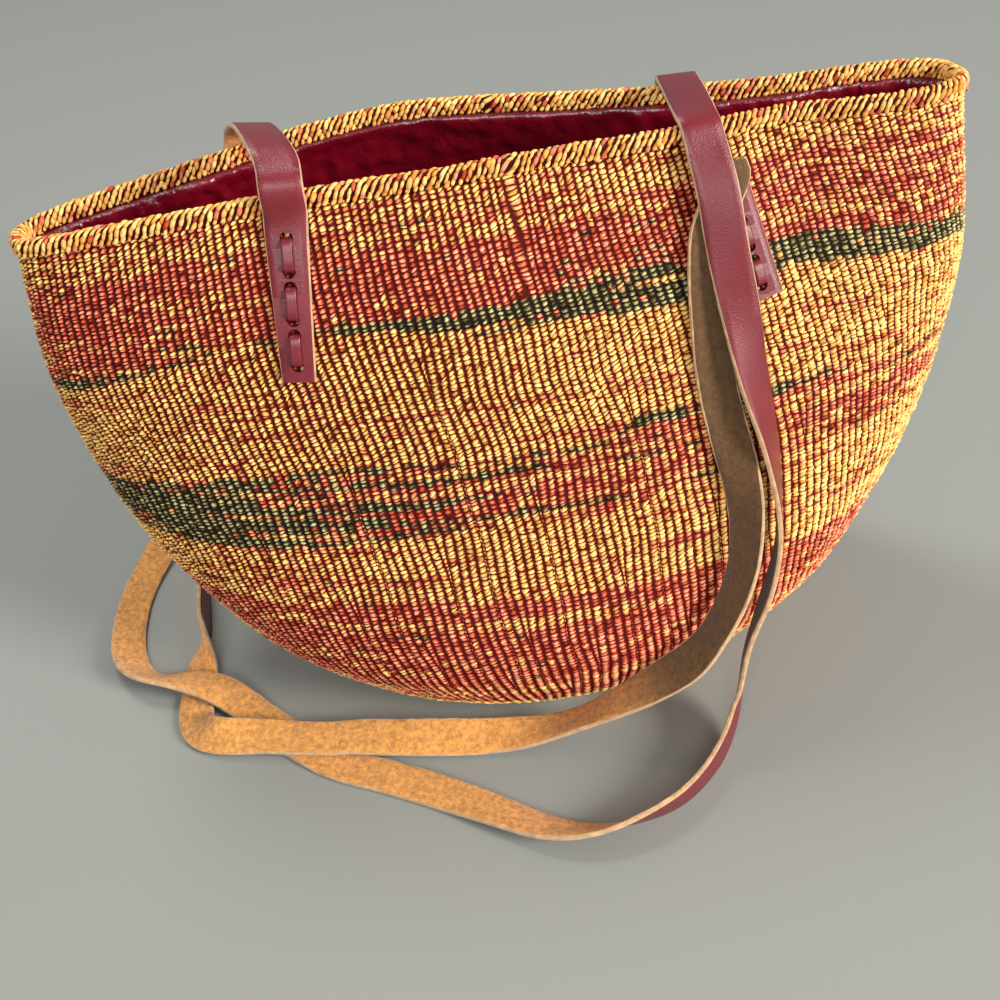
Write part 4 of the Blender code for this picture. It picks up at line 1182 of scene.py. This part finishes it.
def over_mouth_rows(tab, far_share):
    """Route rows of a strap's arch from a tab over both edges of the mouth."""
    near_share, _, back = TABS[tab]
    near = rim_centre(wall_place(near_share * MOUTH_HALF_LENGTH, MOUTH_HEIGHT, back)[0])
    far = rim_centre(wall_place(far_share * MOUTH_HALF_LENGTH, MOUTH_HEIGHT, not back)[0])
    span = (far - near).length
    inward = -body_normal(*wall_place(near.x, MOUTH_HEIGHT, back))
    outward = body_normal(*wall_place(far.x, MOUTH_HEIGHT, not back))
    sides = [Vector((v.x, v.y, 0)).normalized() for v in (inward, outward)]
    profile = [(share * span + forth, rise) for share, forth, rise in ARCHES[tab]]
    rows = []
    for k, (forth, rise) in enumerate(profile):
        before, after = profile[max(k - 1, 0)], profile[min(k + 1, len(profile) - 1)]
        run, climb = after[0] - before[0], after[1] - before[1]
        share = min(max(forth / span, 0.0), 1.0)
        ahead = sides[0].lerp(sides[1], share).normalized()
        place = near.lerp(far, share) + ahead * (forth - share * span) + Vector((0, 0, rise))
        suede = (ahead * climb - Vector((0, 0, run))).normalized()
        roll = ARCH_ROLLS[tab] * math.sin(math.pi * (0.15 + 0.7 * share))
        rows.append((place, (suede - ahead.cross(Vector((0, 0, 1))) * roll).normalized()))
    return rows


def wall_rows(table, back, suede_out):
    rows = []
    for x_share, z_share, layers, *turn in table:
        x, z = x_share * MOUTH_HALF_LENGTH, z_share * MOUTH_HEIGHT
        out = body_normal(*wall_place(x, z, back))
        angle = sum(turn) * math.pi / 2
        side = Vector((0, 0, 1)).cross(out).normalized()
        facing = out * math.cos(angle) + side * math.sin(angle)
        rows.append((on_wall(x, z, layers * LAYER, back), facing if suede_out else -facing))
    return rows


def floor_rows(table):
    rows = []
    for x_share, y_share, lift, *suede in table:
        suede = Vector(suede).normalized() if suede else Vector((0, 0, 1))
        stand = math.sqrt(max(1 - suede.z ** 2, 0.0)) * STRAP_WIDTH / 2
        z = SEAT_GAP + stand + abs(suede.z) * STRAP_THICKNESS / 2 + lift * LAYER
        rows.append((Vector((x_share * MOUTH_HALF_LENGTH, y_share * BASE_HALF_DEPTH, z)), suede))
    return rows


def free_rows(table):
    return [(Vector((x * MOUTH_HALF_LENGTH, y * BASE_HALF_DEPTH, z * MOUTH_HEIGHT)),
             Vector(suede).normalized()) for x, y, z, *suede in table]


def strap_route(which):
    if which == "front":
        return (tab_rows("front_left") + over_mouth_rows("front_left", FRONT_FAR)
                + wall_rows(FRONT_BEHIND, True, False) + free_rows(FRONT_DESCENT)
                + floor_rows(FRONT_FLOOR) + wall_rows(FRONT_RISE, False, True)
                + (tab_rows("front_right") + fold_rows("front_right"))[::-1])
    return (tab_rows("back_right") + over_mouth_rows("back_right", BACK_FAR)
            + wall_rows(BACK_RUN, False, False) + free_rows(BACK_DROP)
            + floor_rows(BACK_FLOOR) + free_rows(BACK_CLIMB)
            + wall_rows(BACK_BEHIND, True, True)
            + (tab_rows("back_left") + fold_rows("back_left"))[::-1])


def spline_samples(points, step):
    """Sample a smooth curve through the points every step or less."""
    ends = [points[0] * 2 - points[1]] + list(points) + [points[-1] * 2 - points[-2]]
    samples = []
    for a, b, c, d in zip(ends, ends[1:], ends[2:], ends[3:]):
        spans = [max((q - p).length, SPLINE_STEP) ** 0.5 for p, q in ((a, b), (b, c), (c, d))]
        t1, t2, t3 = spans[0], spans[0] + spans[1], sum(spans)
        count = max(1, math.ceil((c - b).length / step))
        for k in range(count):
            t = t1 + (t2 - t1) * k / count
            a1, a2 = a.lerp(b, t / t1), b.lerp(c, (t - t1) / (t2 - t1))
            a3 = c.lerp(d, (t - t2) / (t3 - t2))
            b1, b2 = a1.lerp(a2, t / t2), a2.lerp(a3, (t - t1) / (t3 - t1))
            samples.append(b1.lerp(b2, (t - t1) / (t2 - t1)))
    samples.append(points[-1].copy())
    return samples


def strap_frames(route):
    """Centres, directions and suede sides at every millimetre, as three arrays."""
    points = [row[0] for row in route]
    centres = spline_samples(points, SPLINE_STEP)
    counts = [max(1, math.ceil((q - p).length / SPLINE_STEP)) for p, q in zip(points, points[1:])]
    suedes = []
    for (_, first), (_, second), count in zip(route, route[1:], counts):
        for k in range(count):
            suedes.append(first.lerp(second, float(smooth_step(0.0, 1.0, k / count))))
    suedes.append(route[-1][1].copy())
    centres, suedes = np.array(centres), np.array(suedes)
    run = run_lengths(centres)
    free = smooth_step(TAB_STRAIGHT, TAB_STRAIGHT + EASE, run) \
        * smooth_step(FOLD_KEPT, FOLD_KEPT + EASE, run[-1] - run)
    slack = free * smooth_step(ARCH_END, ARCH_END + 2 * EASE, run)
    for weight, bend, turn in ((free, ARCH_WINDOW, ARCH_WINDOW), (slack, BEND_WINDOW, TURN_WINDOW)):
        weight = weight[:, None]
        centres = centres + weight * (smoothed(centres, bend) - centres)
        suedes = suedes + weight * (smoothed(suedes, turn) - suedes)
    for _ in range(3):
        centres = centres + frame_pushes(centres, suedes)
    return centres, *square_frames(centres, suedes)


def square_frames(centres, suedes):
    along = unit(np.gradient(centres, axis=0))
    return along, unit(suedes - along * (along * suedes).sum(axis=1)[:, None])


def smoothed(values, width):
    kernel = np.hanning(width + 2)[1:-1]
    kernel /= kernel.sum()
    padded = np.pad(values, ((width // 2, width // 2), (0, 0)), mode="edge")
    return np.stack([np.convolve(padded[:, k], kernel, mode="valid") for k in range(3)], axis=1)


def frame_pushes(centres, suedes):
    """How far each frame has to move so that it clears the wall, the rim and the floor."""
    along, suedes = square_frames(centres, suedes)
    across = np.cross(along, suedes) * STRAP_WIDTH / 2
    lift = suedes * STRAP_THICKNESS / 2
    rim = rim_frames(RIM_STEPS // 4)[0]
    pushes = np.zeros_like(centres)
    for k in range(0, len(centres), PUSH_STEP):
        deepest, push, low = 0.0, Vector(), 1.0
        for side, face in ((-1, -1), (1, -1), (1, 1), (-1, 1)):
            corner = Vector(centres[k] + across[k] * side + lift[k] * face)
            low = min(low, corner.z)
            apart = np.array(corner) - rim
            near = apart[np.argmin((apart ** 2).sum(axis=1))]
            lacking, out = RIM_RADIUS + SEAT_GAP - np.linalg.norm(near), Vector(near).normalized()
            if corner.z < MOUTH_HEIGHT:
                around, up = wall_place(corner.x, corner.z, corner.y > 0)
                normal = body_normal(around, up)
                short = STRAP_FIT - (corner - skin_point(around, up)).dot(normal)
                if short > lacking:
                    lacking, out = short, normal
            if lacking > deepest:
                deepest, push = lacking, out * lacking
        push = push + Vector((0, 0, max(SEAT_GAP - low, 0.0)))
        pushes[k:k + PUSH_STEP] = push
    return smoothed(pushes, PUSH_WINDOW)


STRAP_PROFILE = (
    (-0.95, -1.0), (-0.6, -1.02), (0.0, -1.04), (0.6, -1.02), (0.95, -1.0), (1.0, -0.6),
    (1.01, 0.0), (1.0, 0.7), (0.94, 1.0), (0.6, 1.0), (0.0, 1.0), (-0.6, 1.0), (-0.94, 1.0),
    (-1.0, 0.7), (-1.01, 0.0), (-1.0, -0.6))
# Painted shade: the suede is painted darker above the floor at the right, where it stands in shade
SHADE_HEIGHTS = (0.010, 0.055)
SHADE_PLACES = (0.0, 0.05)
SHADE_DARKENING = 0.84
FRONT_END_SHARE = 0.78
SHARP_ANGLE = math.radians(50)
GRAIN_FACES = range(0, 4)
SUEDE_FACES = range(8, 12)
EDGE_POINTS = (5, 6, 7, 8, 12, 13, 14, 15)
SUEDE_CORNERS = (7, 8, 12, 13)
EDGE_RAGGED = 0.00010
SUEDE_RAGGED = 0.00022
RAGGED_WINDOW = 5


def strap_mesh(name, frames, width, thickness, seed, step=2, end_share=1.0):
    """A strap along its frames: grain side, suede side and cut edges with their own finish."""
    random = np.random.default_rng(seed)
    centres, along, suedes = (part[::step] for part in frames)
    count = len(centres)
    sides = len(STRAP_PROFILE)
    mesh, column, row = grid_mesh(name, sides + 1, count)
    profile = np.array(STRAP_PROFILE + STRAP_PROFILE[:1])
    across = np.cross(along, suedes)
    ragged = np.zeros((count, sides + 1))
    for k in EDGE_POINTS:
        wave = smoothed(random.normal(0, 1, (count, 3)), RAGGED_WINDOW)[:, 0]
        ragged[:, k] = wave * (SUEDE_RAGGED if k in SUEDE_CORNERS else EDGE_RAGGED)
    ragged[:, -1] = ragged[:, 0]
    lengths = run_lengths(centres)
    widths = width * np.interp(lengths, (0, TAB_END_DROP), (end_share, 1.0))
    x = profile[column, 0] * widths[row] / 2 + np.sign(profile[column, 0]) * ragged[row, column]
    y = profile[column, 1] * thickness / 2
    points = centres[row] + across[row] * x[:, None] + suedes[row] * y[:, None]
    set_points(mesh, points)
    set_vectors(mesh, "leather", np.stack([lengths[row], x, y], axis=1))
    # painted shade, growing with the height above the floor and towards the right
    painted_shade = smooth_step(*SHADE_HEIGHTS, centres[:, 2]) * smooth_step(*SHADE_PLACES, centres[:, 0])
    painted_shade *= SHADE_DARKENING
    set_colours(mesh, "strap_shade", np.repeat(1.0 - painted_shade[row], 3).reshape(-1, 3))
    bm = opened(mesh)
    for face in bm.faces:
        low = min(column[v.index] for v in face.verts)
        face.material_index = 0 if low in GRAIN_FACES else 1 if low in SUEDE_FACES else 2
        face.smooth = True
    bmesh.ops.remove_doubles(bm, verts=bm.verts, dist=WELD)
    caps = bmesh.ops.holes_fill(bm, edges=[e for e in bm.edges if e.is_boundary], sides=0)
    for face in caps["faces"]:
        face.material_index = 2
    bmesh.ops.recalc_face_normals(bm, faces=bm.faces)
    return written(bm, mesh)


def hole_drops(tab):
    first, length, space = tab_drops(tab)[2:]
    starts = [first + stitch * (length + space) for stitch in range(STITCH_COUNT)]
    return [drop for start in starts for drop in (start, start + length)]


def punched(mesh, tabs, radius):
    """The strap's mesh with the lace holes of its tabs cut through."""
    bm = bmesh.new()
    for tab in tabs:
        for drop in hole_drops(tab):
            out = tab_outward(tab, drop)
            place = Matrix.Translation(tab_point(tab, drop, TAB_OUT)) @ \
                out.to_track_quat("Z", "Y").to_matrix().to_4x4()
            bmesh.ops.create_cone(bm, cap_ends=True, segments=20, radius1=radius, radius2=radius,
                                  depth=STRAP_THICKNESS * 2, matrix=place)
    cutter = add_object("punch", written(bm, "punch"))
    strap = add_object("strap", mesh)
    hole = strap.modifiers.new("holes", "BOOLEAN")
    hole.operation = "DIFFERENCE"
    hole.solver = "EXACT"
    hole.object = cutter
    bpy.context.view_layer.update()
    evaluated = strap.evaluated_get(bpy.context.evaluated_depsgraph_get())
    result = bpy.data.meshes.new_from_object(evaluated)
    result.set_sharp_from_angle(angle=SHARP_ANGLE)
    for item in (cutter, strap):
        bpy.data.objects.remove(item, do_unlink=True)
    return result


def build_straps(context):
    leather = context.scene.basket_leather
    for which, tabs, seed in (("front", ("front_left", "front_right"), 3),
                              ("back", ("back_right", "back_left"), 4)):
        name = which + "_strap_leather"
        frames = strap_frames(strap_route(which))
        mesh = strap_mesh(name, frames, leather.strap_width, leather.strap_thickness, seed,
                          end_share=FRONT_END_SHARE if which == "front" else 1.0)
        for material in ("strap_grain", "strap_suede", "strap_edge"):
            mesh.materials.append(bpy.data.materials[material])
        mesh = punched(mesh, tabs, leather.hole_radius)
        mesh.name = name
        if which == "front":
            piece = add_piece(name, mesh, [])
            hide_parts("front_strap")
        else:
            piece = add_piece(name, mesh, [], body=None)
            pos, axis = Vector(HINGE_LINE["pos_m"]), Vector(HINGE_LINE["axis"])
            away = Vector((-axis.y, axis.x, 0)).normalized()
            away = -away if away.y > 0 else away
            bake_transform(piece)
            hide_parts("back_strap_right", "back_strap_loop", "back_strap_left")


def build_laces(context):
    leather = context.scene.basket_leather
    for tab in TABS:
        drops = hole_drops(tab)
        points = [tab_point(tab, drops[0] + leather.lace_width, -LACE_IN)]
        for k, drop in enumerate(drops):
            entering = k % 2 == 0
            depths = (-LACE_IN, -LACE_IN * LACE_BENDS[0], LACE_OUT * LACE_BENDS[1])
            lean = LACE_LEAN if entering else -LACE_LEAN
            column = [tab_point(tab, drop + (lean if d > 0 else 0.0), d) for d in depths]
            points += column if entering else column[::-1]
            if entering:
                for share in LACE_SHARES:
                    rise = LACE_OUT + (LACE_BOW if share == 0.5 else 0.0)
                    points.append(tab_point(tab, drop + (drops[1] - drops[0]) * share, rise))
            elif k < len(drops) - 1:
                points.append(tab_point(tab, (drop + drops[k + 1]) / 2, -LACE_IN - LACE_BOW))
        points.append(tab_point(tab, drops[-1] + leather.lace_width, -LACE_IN))
        centres = np.array(spline_samples(points, LACE_STEP))
        out = np.array(tab_outward(tab, drops[2]))
        side = unit(np.cross(out, np.array(points[-1] - points[0])))
        along = unit(np.gradient(centres, axis=0))
        suedes = unit(np.cross(side[None, :], along))
        mesh = strap_mesh("lace_thong_" + tab, (centres, along, suedes), leather.lace_width,
                          leather.lace_thickness, 9, step=1)
        piece = add_piece("lace_thong_" + tab, mesh, [bpy.data.materials["lace_grain"]] * 3)
        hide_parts("lace_" + tab)


# ---------------------------------------------------------------- stage

CAMERA_PLACE = (-0.0412, -0.5244, 0.5066)
CAMERA_RIGHT = (0.988, -0.134, -0.081)
CAMERA_UP = (0.143, 0.559, 0.816)
CAMERA_FIELD = math.radians(46)
CAMERA_SHIFT = (-0.0262, -0.0937)
CAMERA_SENSOR = 36.0
CAMERA_REACH = (0.01, 50.0)
# Each lamp: name, place, width, power, colour
LAMPS = (
    ("window_right", (3.90, -2.75, 2.15), 1.8, 350.0, (1.0, 0.97, 0.92)),
    ("window_top", (-0.80, 1.40, 3.30), 1.3, 46.0, (1.0, 0.99, 0.97)),
    ("window_front", (-0.70, -2.50, 1.70), 1.3, 40.0, (0.98, 0.99, 1.0)),
)
LAMP_AIM = (0, 0, 0.12)
WORLD_COLOUR = (0.93, 0.96, 1.0, 1.0)
WORLD_STRENGTH = 0.40
FLOOR_SIZE = 6.0
FLOOR_ROUGHNESS = 0.7


def build_stage(context):
    stage = context.scene.basket_stage
    bm = bmesh.new()
    bmesh.ops.create_grid(bm, x_segments=1, y_segments=1, size=FLOOR_SIZE)
    floor = add_object("floor", written(bm, "floor"))
    material, _, shader = new_material("pale_floor")
    feed(shader, {"Base Color": (*stage.floor, 1.0), "Roughness": FLOOR_ROUGHNESS})
    floor.data.materials.append(material)

    camera_data = bpy.data.cameras.new("camera")
    camera_data.sensor_width = CAMERA_SENSOR
    camera_data.lens = CAMERA_SENSOR / 2 / math.tan(CAMERA_FIELD / 2)
    camera_data.shift_x, camera_data.shift_y = CAMERA_SHIFT
    camera_data.clip_start, camera_data.clip_end = CAMERA_REACH
    camera = add_object("camera", camera_data)
    right = Vector(CAMERA_RIGHT).normalized()
    up = (Vector(CAMERA_UP) - right * right.dot(Vector(CAMERA_UP))).normalized()
    back = right.cross(up)
    turn = Matrix((right, up, back)).transposed().to_4x4()
    camera.matrix_world = Matrix.Translation(CAMERA_PLACE) @ turn
    context.scene.camera = camera

    for name, place, size, power, colour in LAMPS:
        lamp_data = bpy.data.lights.new(name, "AREA")
        lamp_data.shape = "DISK"
        lamp_data.size = size
        lamp_data.energy = power
        lamp_data.color = colour
        lamp = add_object(name, lamp_data)
        lamp.location = place
        aim = Vector(LAMP_AIM) - Vector(place)
        lamp.rotation_euler = aim.to_track_quat("-Z", "Y").to_euler()

    world = bpy.data.worlds.new("studio")
    world.use_nodes = True
    feed(world.node_tree.nodes["Background"],
         {"Color": WORLD_COLOUR, "Strength": WORLD_STRENGTH})
    context.scene.world = world
    context.scene.view_settings.view_transform = "Standard"


def build_finishes(context):
    """Node groups and materials that the pieces take."""
    leather = context.scene.basket_leather
    make_fibre_group()
    make_stitch_group()
    make_leather_group()
    # each sisal: name, fibre slant, fineness, streak, roughness, bump distance
    yarn_material("sisal_twining", 0.65, 5.0, 0.25, 0.72, 0.00025, stitched=True)
    yarn_material("sisal_rim_yarn", 0.4, 2.0, 0.30, 0.7, 0.0003)
    # each leather: name, colour, roughness, pebble scale, tone scale, tone change, bump distance
    leather_material("strap_grain", leather.grain, 0.40, 1500.0, 40.0, 0.12, 0.00022,
                     strip=True, coat=0.14)
    leather_material("strap_suede", leather.suede, 0.9, 1800.0, 420.0, 0.42, 0.0006,
                     strip=True, bump_strength=0.8, sheen=0.25, painted_shade=True)
    leather_material("strap_edge", leather.edge, 0.95, 3000.0, 200.0, 0.30, 0.0004,
                     strip=True, bump_strength=1.0, sheen=0.3)
    leather_material("lace_grain", leather.grain, 0.4, 1500.0, 60.0, 0.15, 0.0001,
                     strip=True, coat=0.2)
    leather_material("lining_crimson", leather.lining, 0.28, 100.0, 25.0, 0.25, 0.0034,
                     bump_strength=0.7, coat=0.5)
    leather_material("sewing_thread", leather.thread, 0.8, 3000.0, 100.0, 0.2, 0.0002)


# ---------------------------------------------------------------- operators and panel

class BASKET_OT_finishes(bpy.types.Operator):
    """Make the sisal and leather finishes"""
    bl_idname = "basket.finishes"
    bl_label = "Finishes"

    def execute(self, context):
        build_finishes(context)
        return {"FINISHED"}


class BASKET_OT_wall(bpy.types.Operator):
    """Twine the striped sisal wall"""
    bl_idname = "basket.wall"
    bl_label = "Twined wall"

    def execute(self, context):
        build_wall(context)
        return {"FINISHED"}


class BASKET_OT_rim(bpy.types.Operator):
    """Wrap the knobbly rim"""
    bl_idname = "basket.rim"
    bl_label = "Rim"

    def execute(self, context):
        build_rim(context)
        return {"FINISHED"}


class BASKET_OT_base(bpy.types.Operator):
    """Twine the base and the ring round it"""
    bl_idname = "basket.base"
    bl_label = "Base"

    def execute(self, context):
        build_base(context)
        return {"FINISHED"}


class BASKET_OT_lining(bpy.types.Operator):
    """Sew in the leather lining"""
    bl_idname = "basket.lining"
    bl_label = "Lining"

    def execute(self, context):
        build_lining(context)
        return {"FINISHED"}


class BASKET_OT_straps(bpy.types.Operator):
    """Cut and lay the two leather straps"""
    bl_idname = "basket.straps"
    bl_label = "Straps"

    def execute(self, context):
        build_straps(context)
        return {"FINISHED"}


class BASKET_OT_laces(bpy.types.Operator):
    """Lace the strap ends to the wall"""
    bl_idname = "basket.laces"
    bl_label = "Laces"

    def execute(self, context):
        build_laces(context)
        return {"FINISHED"}


class BASKET_OT_stage(bpy.types.Operator):
    """Set the floor, the light and the camera"""
    bl_idname = "basket.stage"
    bl_label = "Stage"

    def execute(self, context):
        build_stage(context)
        return {"FINISHED"}


STEPS = (BASKET_OT_finishes, BASKET_OT_wall, BASKET_OT_rim, BASKET_OT_base, BASKET_OT_lining,
         BASKET_OT_straps, BASKET_OT_laces, BASKET_OT_stage)
SETTINGS = (("basket_weave", WeaveSettings), ("basket_leather", LeatherSettings),
            ("basket_stage", StageSettings))


class BASKET_PT_panel(bpy.types.Panel):
    """Lists the basket's pieces"""
    bl_label = "Kiondo basket"
    bl_idname = "BASKET_PT_panel"
    bl_space_type = "VIEW_3D"
    bl_region_type = "UI"
    bl_category = "Basket"

    def draw(self, context):
        for step in STEPS:
            self.layout.operator(step.bl_idname)


def register():
    for _, group in SETTINGS:
        bpy.utils.register_class(group)
    for step in STEPS + (BASKET_PT_panel,):
        bpy.utils.register_class(step)
    for name, group in SETTINGS:
        setattr(bpy.types.Scene, name, bpy.props.PointerProperty(type=group))


def unregister():
    for name, _ in SETTINGS:
        delattr(bpy.types.Scene, name)
    for step in reversed(STEPS + (BASKET_PT_panel,)):
        bpy.utils.unregister_class(step)
    for _, group in SETTINGS:
        bpy.utils.unregister_class(group)


def main():
    register()
    for step in STEPS:
        module, action = step.bl_idname.split(".")
        getattr(getattr(bpy.ops, module), action)()
    bpy.context.view_layer.update()


if __name__ == "__main__":
    main()
